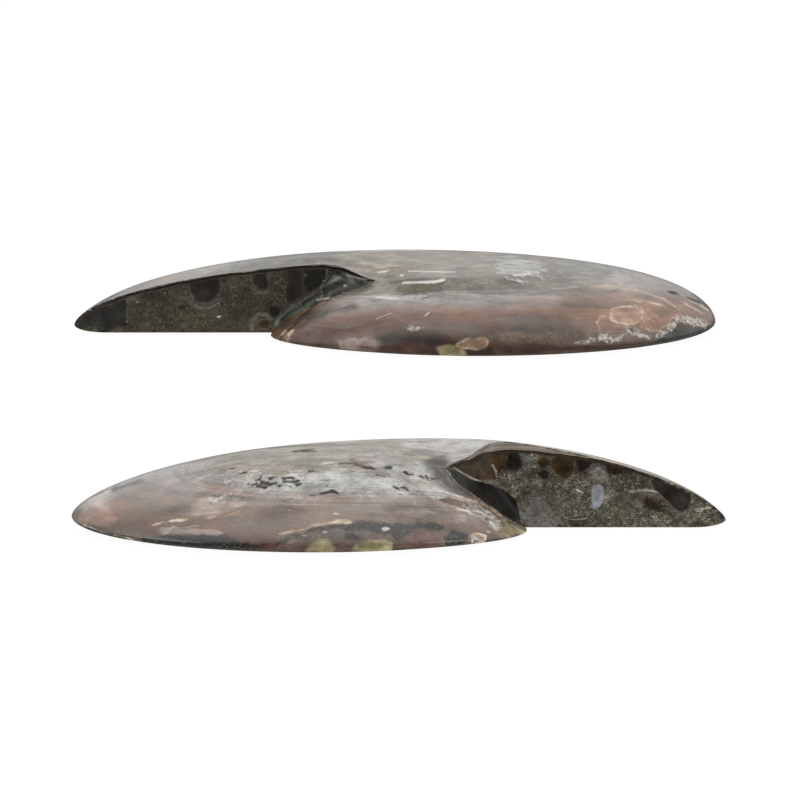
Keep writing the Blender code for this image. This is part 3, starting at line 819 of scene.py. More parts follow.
# Its marks by field, in mm: on the dome along the sight line, on the mouth's face, and on the dome from above
REAR_SIGHT_MARKS = {
    "stone": [
        [(20.4, 13.4), (15.4, 13.9), (6.2, 14.5), (0.1, 14.1), (-3.4, 13.4), (0.1, 12.2), (4.3, 11.8), (9.3, 12.2),
         (13.9, 12.0), (17.8, 12.2)],
        ((-4.9, 13.7), (4.2, 1.5)),
    ],
    "slate": [
        [(12.8, 10.1), (9.7, 10.9), (4.3, 10.7), (1.2, 9.7), (2.4, 8.0), (5.5, 7.0), (10.5, 7.6)],
        ((-21.4, 12.1), (4.2, 1.1)),
        [(-7.8, 8.9), (-9.1, 9.9), (-11.4, 10.3), (-14.1, 10.7), (-13.0, 9.9), (-11.1, 8.7), (-9.1, 8.4)],
    ],
    "pale": [[(22.0, -1.8), (19.7, -1.1), (15.4, -1.2), (14.3, -2.6), (15.1, -3.7), (18.5, -3.6), (21.2, -3.2)]],
    "chalk": [
        [(-8.0, 13.7), (-9.5, 14.5), (-13.0, 14.5), (-16.1, 13.5), (-17.8, 12.2), (-16.8, 11.0), (-13.0, 10.5),
         (-9.1, 10.9)],
    ],
    "blush": [
        [(-19.9, 8.0), (-25.7, 9.1), (-31.0, 8.5), (-36.4, 7.6), (-40.6, 6.1), (-45.6, 5.3), (-49.9, 3.9),
         (-50.6, 2.4), (-48.3, 1.6), (-43.0, 2.6), (-40.6, 0.3), (-36.0, -0.1), (-32.2, -0.9), (-27.6, -0.5),
         (-23.4, 0.3), (-20.7, 4.9)],
    ],
    "ashen": [
        [(76.1, 0.3), (71.5, 4.1), (63.9, 8.4), (52.3, 12.2), (37.0, 14.5), (21.6, 15.3), (21.6, 13.0),
         (37.0, 11.8), (52.3, 9.1), (63.9, 5.7), (70.8, 2.2)],
        [(2.4, 6.1), (-3.4, 7.6), (-9.1, 8.0), (-16.1, 8.4), (-20.7, 9.5), (-26.4, 10.5), (-32.2, 10.1),
         (-38.0, 9.1), (-43.0, 7.6), (-47.6, 5.5), (-49.9, 4.5), (-49.1, 8.0), (-45.6, 10.7), (-38.0, 13.4),
         (-28.4, 14.5), (-20.7, 13.4), (-18.4, 11.4), (-13.0, 9.9), (-5.3, 9.1), (2.4, 7.6)],
    ],
    "shadow": [
        ((-18.2, 0.7), (10.2, 1.5)), ((-24.5, 5.6), (5.0, 1.8)), ((-11.8, 5.8), (6.5, 0.5)),
        ((-16.4, 1.6), (4.2, 1.0)),
        [(15.8, 0.1), (11.6, 0.7), (6.2, 0.3), (2.8, -0.5), (1.6, -2.0), (4.3, -2.8), (9.3, -2.4), (13.9, -3.2),
         (15.8, -1.6)],
    ],
    "peach": [
        [(-29.9, 3.7), (-30.7, 4.7), (-32.6, 5.1), (-34.9, 5.0), (-36.2, 4.3), (-36.8, 3.2), (-35.7, 2.0),
         (-33.7, 1.4), (-31.4, 1.8), (-30.3, 2.6)],
        [(-0.7, -2.2), (-2.2, -1.4), (-4.1, -1.2), (-6.1, -1.0), (-6.6, -1.8), (-6.3, -3.0), (-4.5, -3.4),
         (-2.2, -3.2), (-0.7, -2.8)],
    ],
    "grit": [
        ((-16.1, -1.2), (8.5, 1.0)), ((-28.0, -0.9), (8.1, 0.8)),
        [(22.4, -1.2), (19.7, -0.7), (15.4, -1.1), (14.3, -2.4), (14.7, -3.6), (18.5, -3.6), (21.2, -3.4)],
    ],
    "painted_shade_and_dark_marks": [
        [(33.1, 1.4), (29.3, 2.6), (23.5, 4.3), (18.5, 5.5), (18.5, 4.9), (23.5, 3.6), (28.5, 1.8), (32.3, 0.5)],
        [(14.7, -1.1), (11.6, 0.1), (8.5, -0.5), (6.2, 0.1), (3.2, -0.5), (0.8, -1.6), (-0.7, -2.6), (2.4, -3.0),
         (5.5, -2.2), (9.3, -2.0), (12.4, -2.6)],
        ((-6.3, -4.1), (2.9, 0.6)), ([(-7.6, 0.3), (-14.9, 0.5), (-24.5, 0.1)], 0.41),
    ],
    "smooth": [
        [(-36.0, -2.8), (-38.9, -1.4), (-40.6, -0.1), (-42.2, 1.6), (-43.7, 1.4), (-45.6, 1.1), (-48.3, 0.7),
         (-49.9, 1.6), (-51.0, 2.6), (-51.0, 0.5), (-48.7, -0.7), (-45.6, -1.6), (-40.6, -2.8), (-37.0, -3.4)],
    ],
    "crumb": [
        [(-33.3, 0.9), (-34.5, 1.1), (-36.4, -0.1), (-38.7, -0.5), (-40.6, 0.7), (-42.2, 2.2), (-43.1, 3.6),
         (-45.6, 3.0), (-47.9, 2.2), (-49.9, 1.8), (-48.3, 1.1), (-45.6, 1.6), (-43.3, 1.4), (-41.4, -0.3),
         (-39.1, -1.2), (-36.0, -1.1), (-33.7, -0.3)],
        [(-23.0, -1.8), (-24.9, -1.1), (-26.8, -1.4), (-28.7, -0.7), (-31.0, -1.1), (-33.0, 0.1), (-34.1, -0.5),
         (-32.2, -1.6), (-29.5, -2.0), (-27.2, -1.8), (-25.3, -2.4), (-23.4, -2.4)],
        ([(8.1, 1.1), (7.4, 0.5), (6.4, 1.1), (5.5, 0.7)], 0.36),
    ],
    "rust": [
        [(14.3, -2.8), (10.1, -2.0), (3.2, -3.0), (2.4, -4.3), (8.1, -4.9), (13.9, -4.3)],
        ((-14.1, -3.6), (7.7, 1.2)), ((-26.6, -3.2), (5.6, 1.0)),
        [(19.3, -2.0), (15.1, -2.4), (14.3, -3.7), (17.8, -3.7)],
    ],
    "olive": [[(3.2, -2.8), (0.8, -2.2), (-2.2, -3.0), (-2.6, -4.3), (2.4, -4.7)]],
    "tan": [
        [(-33.0, 6.1), (-36.0, 6.4), (-39.1, 5.5), (-42.6, 4.3), (-42.4, 2.8), (-40.6, 0.9), (-38.0, 0.3),
         (-36.0, 1.1), (-37.0, 3.0), (-36.0, 4.9)],
        [(-27.6, 1.6), (-28.5, 3.0), (-30.1, 2.8), (-31.2, 1.2), (-33.7, 1.1), (-33.5, 0.1), (-30.7, 0.3),
         (-28.4, 0.5)],
    ],
    "cream": [
        ([(-27.4, 1.6), (-28.0, 2.8), (-28.9, 3.2), (-30.1, 3.0)], 0.26),
        ([(-33.3, 6.2), (-36.0, 5.9), (-38.7, 5.5), (-41.4, 4.9), (-42.6, 4.1)], 0.23),
        ([(-36.2, 3.0), (-38.0, 2.6), (-39.9, 1.2)], 0.23),
        ([(-19.1, 8.4), (-23.7, 8.7), (-25.7, 9.3), (-31.0, 8.8), (-36.4, 7.8), (-40.6, 6.4), (-42.6, 4.9)], 0.34),
        ([(-43.3, 7.6), (-46.4, 6.1), (-49.1, 4.3)], 0.41), ([(-43.0, 6.4), (-45.6, 5.1), (-48.3, 3.6)], 0.31),
        ([(32.7, -0.3), (32.0, 0.5)], 0.41), ([(31.4, -0.5), (30.6, 0.3)], 0.36),
    ],
    "white": [
        ([(9.5, 9.5), (6.2, 9.6), (3.2, 9.7), (1.6, 10.1)], 0.52), ([(8.5, 11.8), (3.9, 11.7), (-0.5, 11.6)], 0.21),
        ([(14.7, 6.8), (12.8, 6.6), (10.1, 6.4)], 0.26), ([(-11.8, 10.9), (-13.4, 11.1), (-14.9, 11.4)], 0.41),
        ([(14.3, 11.6), (12.4, 11.8)], 0.23), ((9.7, 11.0), (0.4, 0.3)), ([(14.7, 2.6), (11.6, 3.7)], 0.18),
        ([(11.2, 3.6), (9.7, 2.2)], 0.16), ([(5.5, 3.0), (4.3, 3.9)], 0.16), ([(6.6, 7.0), (4.9, 7.0)], 0.21),
    ],
    "crack": [([(-42.0, 7.9), (-44.1, 7.2), (-46.0, 6.4), (-48.3, 5.5), (-49.7, 4.5)], 0.34)],
}
REAR_MOUTH_MARKS = {
    "smooth": [
        [(74.2, -0.9), (73.5, 2.6), (69.6, 4.5), (65.8, 6.2), (62.3, 6.8), (62.5, 0.1), (62.5, -1.6)],
        [(23.9, 12.6), (21.0, 12.2), (17.8, 11.4), (15.1, 9.9), (17.4, 8.7), (19.7, 8.2), (21.6, 6.6), (23.5, 6.6),
         (25.2, 6.6), (25.4, 7.8), (24.3, 9.7)],
    ],
    "chamber": [
        [(50.8, 10.7), (50.6, 8.0), (49.6, 6.2), (47.7, 5.3), (45.8, 6.1), (44.6, 8.0), (44.5, 11.4)],
        [(38.9, 12.2), (38.5, 9.5), (37.5, 8.4), (36.4, 7.9), (35.4, 8.7), (35.2, 12.2)],
        [(28.7, 12.6), (28.7, 9.1), (27.9, 7.6), (25.8, 8.4), (24.3, 9.9), (23.9, 12.6)], ((52.0, 4.8), (0.7, 0.7)),
        ((34.1, 4.1), (1.2, 1.2)),
    ],
    "amber": [((36.1, 1.6), (1.2, 1.0))],
    "maroon": [
        [(31.6, 12.6), (28.7, 12.6), (28.7, 8.7), (29.1, 6.8), (31.2, 5.5), (31.8, 6.1)], ((58.1, 7.0), (1.9, 1.0)),
    ],
    "pale": [
        ([(50.4, 6.1), (49.1, 4.9), (47.3, 4.5), (45.4, 5.3), (44.5, 6.8)], 0.57),
        ([(38.5, 8.7), (37.5, 7.8), (36.4, 7.4), (35.2, 8.2)], 0.62),
        ([(38.5, 0.7), (38.5, 2.4), (37.3, 3.5), (36.0, 3.6), (34.8, 2.6)], 0.73),
        ([(22.7, 5.7), (25.8, 4.1), (29.3, 2.2), (32.7, 0.5), (34.3, 0.1)], 0.83),
    ],
    "white": [
        ([(55.6, 8.2), (55.2, 7.6), (55.4, 7.0)], 0.34), ((33.8, 9.6), (0.3, 0.3)),
        ([(32.0, 9.7), (32.2, 7.2), (31.8, 5.5)], 0.26), ([(62.5, 5.7), (62.5, 0.1)], 0.23),
        ([(45.0, 5.9), (44.8, 5.3)], 0.31), ([(25.4, 8.5), (24.9, 9.3)], 0.31),
        ([(25.0, 9.7), (24.3, 10.1), (23.5, 11.0)], 0.21), ([(25.1, 8.0), (25.1, 6.6)], 0.36),
        ([(26.0, 6.2), (24.7, 6.5), (22.4, 6.7)], 0.36), ([(23.3, 5.7), (22.2, 6.6)], 0.23),
        ([(31.2, 5.1), (30.4, 5.7)], 0.21), ((20.6, 9.0), (0.4, 0.3)), ((20.9, 7.7), (0.3, 0.2)),
        ((28.2, 11.0), (0.3, 0.3)), ((60.5, 5.9), (0.3, 0.4)), ((44.8, 3.1), (0.4, 0.2)),
    ],
}
REAR_PLAN_MARKS = {
    "rust": [((34, 49), (9, 2.4), -38), ((-6, 55), (7, 2.2), 8), ((-43, 24), (2.4, 6), 24)],
    "olive": [((12, 57), (5, 1.8), -10), ((-28, 45), (4.5, 1.9), 36), ((58, 25), (2.2, 5), 20)],
    "char": [((47, 38), (6, 2.6), -48), ((-17, 51), (6, 2.2), 20), ((-48, 10), (1.8, 6), 8), ((66, 8), (2, 6), 8)],
    "crumb": [((24, 51), (4, 1.8), -22), ((-36, 36), (4, 1.9), 46), ((54, 30), (2, 4), 38)],
    "grit": [((2, 52), (12, 2), -4), ((40, 42), (10, 2.4), -44), ((-41, 29), (2.4, 8), 36)],
    "cream": [
        ([(20, 47), (8, 49), (-4, 48), (-14, 45)], 0.8), ([(44, 33), (51, 25), (56, 16)], 0.7),
        ((-30, 38), (3, 1.2), 42),
    ],
    "peach": [((30, 42), (6, 3), -36), ((-20, 40), (5, 2.6), 24)],
    "blush": [((26, 36), (22, 8), -32), ((-24, 34), (16, 7), 34)],
    "stone": [((4, 18), (18, 9), 10), ((-22, 4), (9, 12), 0)],
    "chalk": [((14, 26), (9, 4), -12)],
    "crack": [([(6, 30), (12, 28), (17, 29)], 0.5), ([(-30, 20), (-26, 26)], 0.5)],
}

# Its shape, in metres, and its lines on the charts, in mm
REAR_HALF = {
    "node": "ammonite_half_rear", "slot": "polished_fossil_rear", "side": -1,
    "mouth_radius": 73.0 * MM, "keel_trim": 0.4 * MM, "crown": 13.0 * MM, "mouth_crown": 15.1 * MM,
    "back_crown": 11.8 * MM, "crown_trim": 1.2 * MM, "cap_radius": 50.0 * MM, "fullness": 3.65,
    "mouth_fullness": 2.15, "shoulder": 0.57, "notch": (14.0 * MM, -8.0 * MM), "notch_dip": 1.8 * MM,
    "dip_reach": 9.0 * MM, "edge_bend": 0.9, "chamfer_top": 10.8 * MM, "chamfer_curve": 0.72,
    "mouth_lean": math.radians(4), "hollow_width": 0.044,
    "bare_radius": 24.0, "ledge": (19.0, 5.0), "brim_depth": [(14, 0.1), (73, 0.1)],
    "hollow_line": [(14, 11.5), (21.2, 11.8), (25.8, 7.4), (30, 6.6), (33.1, 3.2), (34.7, 1.2), (36, -9)],
    "sight_marks": REAR_SIGHT_MARKS, "mouth_marks": REAR_MOUTH_MARKS, "plan_marks": REAR_PLAN_MARKS,
}
REAR_LOOK = {
    "hue": ("#8f7565", "#93908b"),
    # The light mauve stops at 0.56 and 0.64 are mauve-grey shell, lightened further as a painted highlight across the
    # upper flank.
    "ramp": ((0.0, "#857e6e"), (0.4, "#787160"), (0.5, "#6c6858"), (0.56, "#9b9691"), (0.64, "#b3a9a3"),
             (0.72, "#98837a"), (0.78, "#7b5d4c"), (0.84, "#5c3b2a"), (0.9, "#45291e"), (0.95, "#32241f"),
             (1.0, "#231e1b")),
    "skins": ((0.0, "#5d5a50"), (0.12, "#3c2a1f"), (0.22, "#7a573c"), (0.28, "#4a3426"), (0.38, "#8a7159"),
              (0.46, "#5a4030"), (0.56, "#3f2e24"), (0.7, "#8d7263"), (0.8, "#6a5142"), (1.0, "#85736a")),
    "mud": ("#37322a", "#4c4638"), "curl": "#615c45", "curl_share": 0.3, "fleck": "#6b6649", "fleck_share": 0.8,
    "ring_share": 0.0, "mouth_gloss": 0.4, "hollow": ("#33322d", "#62625a"),
    "brim": ((0.0, "#b5aca3"), (0.4, "#9c9284"), (0.43, "#1b1411"), (0.53, "#15100d"), (0.57, "#665b48"),
             (0.61, "#2c2720"), (1.0, "#3a352b")),
}
rear_grids = half_points(REAR_HALF)
fossil_piece("rear_half", REAR_HALF, rear_grids, markings(REAR_HALF, rear_grids), (
    shell_material("rear_polished_shell", REAR_LOOK), mouth_material("rear_ground_mouth", REAR_LOOK),
    sawn_material("rear_sawn_face", REAR_LOOK)))


# The front half, the lower one in the photo. It is the other side of the same shell, so its coil runs the
# other way. Its mouth opens to the right and leans back further.

# Its marks by field, in mm: on the dome along the sight line, on the mouth's face, and on the dome from above
FRONT_SIGHT_MARKS = {
    "stone": [
        [(-21.8, 13.7), (-14.5, 14.8), (-5.6, 15.3), (3.5, 15.5), (12.7, 15.2), (16.8, 13.7), (17.9, 11.8),
         (12.7, 11.5), (7.2, 10.0), (-2.0, 9.6), (-9.3, 9.3), (-16.7, 9.6), (-21.8, 10.4), (-23.6, 11.8)],
    ],
    "chalk": [
        [(-21.1, 8.9), (-16.7, 10.0), (-11.2, 10.0), (-6.0, 10.4), (-0.1, 11.1), (5.7, 10.4), (11.3, 9.6),
         (11.6, 7.4), (7.2, 6.3), (-0.1, 6.9), (-7.5, 7.1), (-13.4, 6.7), (-18.5, 7.8)],
        [(10.5, 10.7), (12.4, 11.5), (15.3, 11.7), (17.9, 10.7), (17.9, 9.3), (15.3, 8.9), (12.4, 9.3)],
        [(9.1, 7.4), (11.3, 8.4), (14.6, 7.8), (18.2, 7.1), (18.6, 6.2), (14.6, 6.3), (11.3, 6.5)],
        ((7.8, 12.0), (3.1, 1.7)),
    ],
    "blush": [
        [(-47.9, 1.2), (-47.2, 4.1), (-44.2, 5.6), (-39.8, 4.9), (-40.5, 1.9), (-42.4, 0.1)],
        [(-27.3, 6.0), (-25.1, 8.2), (-21.8, 8.5), (-16.7, 6.0), (-17.0, 3.8), (-21.1, 2.8), (-26.6, 3.8)],
        [(-11.5, 5.6), (-7.5, 6.5), (-2.0, 6.0), (2.8, 6.3), (1.7, 4.5), (-4.2, 3.4), (-9.3, 3.8)],
        [(-24.7, 3.2), (-21.8, 3.6), (-18.5, 3.4), (-20.0, 2.5), (-23.3, 2.1)],
    ],
    # Painted shade in the recess left of the notch, beside the hollow, and a dark streak and a smudge on the flank.
    "painted_shade_and_dark_marks": [
        [(15.3, 12.2), (17.1, 13.7), (19.3, 13.7), (20.1, 11.8), (21.5, 9.8), (24.1, 7.8), (27.1, 6.0), (26.0, 5.1),
         (23.0, 5.8), (20.1, 6.9), (18.2, 8.0), (16.8, 9.3), (16.4, 10.7)],
        ([(-41.8, 7.1), (-39.4, 7.9), (-36.5, 8.7)], 0.45), ((14.4, 0.3), (3.9, 0.9)),
    ],
    "shadow": [
        ((-25.8, 10.5), (2.9, 0.6), 8), ((-19.2, 13.0), (3.7, 0.6), 6), ((-36.3, 7.5), (1.7, 0.6), 8),
        [(8.3, 4.5), (11.6, 5.1), (16.4, 4.9), (18.2, 3.0), (16.4, 1.6), (10.9, 1.6), (8.7, 2.7)],
        ((-11.0, 3.0), (3.5, 1.8)), ((-31.4, 3.2), (3.7, 0.9), 14),
    ],
    # Painted reflection: a pale band along the upper left silhouette, and one over the top above the mouth.
    "painted_sheen": [
        [(-47.2, 3.8), (-45.7, 6.0), (-42.4, 8.2), (-36.9, 10.7), (-29.5, 13.0), (-23.3, 14.2), (-22.9, 13.3),
         (-28.8, 11.7), (-35.8, 9.3), (-41.3, 6.7), (-44.6, 4.3)],
        [(10.5, 16.3), (18.2, 17.0), (27.4, 17.0), (35.1, 15.9), (34.4, 14.8), (29.3, 14.6), (23.8, 14.1),
         (16.4, 14.2), (11.6, 15.0)],
    ],
    "pale": [
        [(-33.7, -0.8), (-33.2, 0.1), (-30.3, 0.2), (-27.3, 0.0), (-25.5, -0.5), (-23.3, -0.3), (-21.8, -0.8),
         (-22.5, -1.4), (-25.8, -1.2), (-29.5, -1.0), (-32.1, -1.3)],
        [(-27.3, 4.3), (-25.8, 6.3), (-23.6, 7.1), (-19.2, 7.3), (-16.7, 6.3), (-17.4, 4.3), (-21.1, 3.2),
         (-24.7, 2.8)],
        [(20.8, 2.5), (21.5, 2.8), (23.0, 2.5), (22.7, 0.6), (21.5, 0.3), (21.0, 1.2)], ((-25.1, 6.9), (1.5, 0.9)),
        ((-25.8, 3.2), (2.6, 0.6), 6), ((13.8, 2.9), (2.9, 0.5)),
        [(-13.0, 5.6), (-10.4, 6.2), (-7.5, 6.3), (-4.2, 6.0), (-1.6, 5.2), (-4.2, 4.3), (-8.2, 4.1), (-11.2, 4.9)],
    ],
    "peach": [[(23.8, -1.4), (25.2, -0.8), (26.7, -1.4), (26.3, -2.5), (24.5, -2.7)]],
    "grit": [
        [(-10.8, -1.7), (-7.8, -0.3), (-2.0, -0.6), (2.1, -1.0), (2.8, -2.5), (-0.1, -3.2), (-5.6, -2.5),
         (-9.3, -3.6), (-11.2, -3.2)],
        [(18.2, 0.5), (21.9, 1.2), (25.6, -0.3), (25.2, -3.2), (20.4, -3.9), (18.2, -3.2)],
        ((6.1, -0.9), (4.0, 1.0)),
    ],
    "char": [
        [(-36.3, -1.9), (-33.9, -1.2), (-30.3, -1.3), (-25.1, -1.2), (-21.1, -1.4), (-18.5, -2.1), (-15.6, -2.7),
         (-14.5, -3.2), (-15.7, -4.1), (-22.2, -4.3), (-29.5, -3.9), (-35.0, -3.2)],
        [(-47.2, -0.3), (-46.1, 0.5), (-42.4, -0.6), (-36.9, -2.1), (-36.1, -3.4), (-42.4, -2.5)],
        [(-11.9, -2.7), (-9.3, -1.4), (-6.4, -0.4), (-3.4, 0.5), (-0.5, 1.0), (2.4, 1.2), (6.9, 1.3), (11.3, 1.1),
         (16.4, 1.0), (19.7, 0.5), (18.2, -0.6), (13.8, -0.1), (11.6, -1.4), (10.5, -2.8), (9.2, -0.8), (3.5, -0.5),
         (-0.9, 0.1), (-4.2, -0.4), (-7.5, -1.4), (-10.4, -2.7), (-11.7, -3.0)],
        ((2.3, -1.7), (1.7, 0.6)),
        [(18.6, -1.4), (20.4, -0.5), (22.7, -0.8), (23.8, -2.1), (22.3, -3.4), (19.3, -3.6)],
    ],
    "brown": [
        [(17.9, 5.2), (20.1, 5.6), (22.7, 5.1), (23.9, 4.3), (23.2, 3.4), (21.2, 3.9), (19.3, 4.5)],
        ((14.9, 13.9), (3.3, 0.7)), ((3.5, 11.8), (1.5, 0.6)),
    ],
    "crumb": [
        [(22.3, 4.1), (24.1, 4.7), (27.1, 3.4), (29.3, 1.6), (29.6, -0.3), (28.2, -0.6), (26.3, 1.2), (23.8, 2.5)],
        ((-22.7, 5.2), (1.3, 1.1)), ((-20.5, 5.9), (0.9, 0.8)), ((24.5, -2.3), (1.5, 0.6)),
        ((-8.9, 5.3), (1.5, 0.5)),
    ],
    "rust": [[(-15.2, -1.7), (-13.7, -1.6), (-11.9, -1.9), (-11.9, -3.9), (-14.8, -3.9)]],
    "maroon": [
        [(11.4, -4.7), (12.4, -1.9), (13.3, -0.3), (14.6, 0.1), (16.0, -0.5), (17.9, -1.9), (18.6, -4.3),
         (14.6, -5.4)],
    ],
    "olive": [
        [(-6.4, -4.3), (-5.6, -2.8), (-4.2, -1.9), (-2.3, -2.1), (-1.0, -3.6), (-1.6, -4.7), (-4.9, -4.9)],
        [(2.1, -4.1), (2.8, -2.7), (4.6, -2.1), (8.0, -1.9), (9.4, -2.7), (9.2, -4.3), (5.4, -4.7)],
        [(29.3, -0.3), (30.4, 0.5), (31.8, -0.1), (31.5, -1.2), (29.6, -1.6)],
    ],
    "cream": [
        ([(-11.2, -1.0), (-8.9, -0.5), (-6.7, -0.2), (-5.3, 0.5), (-2.0, 1.0), (2.1, 1.1)], 0.3),
        [(-4.5, 0.6), (-2.7, 1.2), (-0.5, 1.8), (1.3, 1.7), (2.1, 1.2), (-0.9, 1.0)],
        ([(-33.6, -0.1), (-30.3, 0.2), (-27.3, -0.0), (-25.3, -0.5), (-23.3, -0.3), (-21.6, -0.8)], 0.2),
        ([(-37.6, -1.4), (-36.1, 0.1), (-33.9, 0.8), (-31.7, 1.2), (-28.1, 1.7)], 0.2),
        ([(-24.4, 1.9), (-21.1, 2.2), (-18.5, 3.2)], 0.27),
        ([(19.0, 4.5), (21.2, 3.8), (23.0, 3.2), (25.6, 1.9), (27.1, 0.8)], 0.27),
        ([(20.4, 5.8), (23.8, 5.1), (27.1, 3.9), (29.6, 1.9)], 0.25),
        ([(-47.2, 0.5), (-44.2, -0.6), (-39.8, -1.7), (-36.5, -2.5)], 0.2), ([(-18.5, -1.2), (-17.0, -0.1)], 0.17),
    ],
    "white": [
        ([(-31.4, 1.3), (-29.2, 1.5)], 0.3), ([(-28.8, 0.1), (-25.8, 0.6)], 0.2), ([(-1.3, 2.8), (-0.4, 2.6)], 0.3),
        ((-9.3, 3.4), (0.2, 0.1)), [(7.4, 0.0), (8.1, 0.3), (9.1, 0.1), (8.5, -0.4), (7.8, -0.5)],
        ([(-3.3, -0.7), (-2.5, -0.6)], 0.25), ((-6.6, -1.3), (0.4, 0.1)),
        ([(21.2, 3.6), (23.0, 3.2), (24.1, 2.5)], 0.4), ([(24.9, 3.2), (26.7, 2.3)], 0.3),
        ([(27.4, 1.2), (28.2, 0.1)], 0.35), ([(26.7, -0.6), (27.4, -0.8)], 0.22),
        ([(18.2, 6.9), (20.4, 6.3), (22.5, 5.6)], 0.25), ([(-3.4, 12.0), (-1.2, 12.2)], 0.2),
        ([(-18.5, 10.4), (-15.6, 10.7)], 0.2),
    ],
    "crack": [
        ([(-20.5, 8.2), (-19.2, 8.5), (-18.3, 8.2)], 0.25), ([(-17.9, 8.5), (-16.3, 8.0), (-15.6, 8.2)], 0.3),
        ([(-15.2, 7.7), (-13.7, 7.6)], 0.27), ([(-15.9, 8.9), (-14.8, 9.1)], 0.27),
        ([(-14.5, 8.5), (-13.0, 8.2), (-11.9, 8.4)], 0.3), ([(-13.0, 9.3), (-11.3, 9.6), (-10.4, 9.3)], 0.42),
        ([(-11.5, 7.8), (-10.0, 8.0), (-8.9, 7.6)], 0.3), ([(-10.4, 8.7), (-8.9, 8.5), (-7.5, 8.9)], 0.27),
        ([(-9.7, 9.4), (-8.2, 9.3)], 0.25), ([(-8.2, 8.0), (-6.9, 8.4)], 0.27), ([(-6.7, 8.7), (-5.3, 8.9)], 0.27),
        ([(-15.4, 9.6), (-14.5, 9.7)], 0.25), ([(-0.5, 12.2), (1.7, 12.0)], 0.3),
        ([(2.3, 11.8), (3.9, 11.5), (5.0, 11.1)], 0.42), ([(5.4, 11.1), (6.9, 10.7)], 0.27),
        ([(8.0, 11.1), (9.1, 11.3)], 0.25), ([(6.5, 10.0), (8.0, 9.6), (9.1, 9.6)], 0.27),
        ([(1.7, 12.8), (3.2, 13.0)], 0.27), ([(11.6, 10.6), (12.4, 9.8), (13.1, 10.0)], 0.3),
        ([(14.6, 9.6), (15.7, 9.1), (17.7, 9.1)], 0.47), ([(15.3, 9.5), (16.4, 10.0)], 0.25),
        ([(9.4, 7.7), (10.5, 7.4), (11.6, 7.4), (12.5, 6.9)], 0.25), ([(12.4, 6.7), (14.6, 6.0)], 0.22),
        ([(-5.6, 6.0), (-4.2, 6.2), (-3.4, 6.5), (-1.6, 6.9), (-0.1, 6.3)], 0.25), ([(1.7, 6.7), (3.9, 6.5)], 0.27),
        ([(6.5, 6.3), (8.7, 6.0), (10.9, 6.2)], 0.22), ([(-20.3, 11.1), (-16.7, 11.8)], 0.2),
        ([(-8.9, 14.2), (-4.5, 14.6)], 0.2), ([(-18.5, 10.2), (-17.2, 10.4)], 0.2),
        ([(-6.0, 10.4), (-4.9, 10.6)], 0.2), ([(-2.7, 7.8), (-1.8, 8.0)], 0.2),
    ],
}
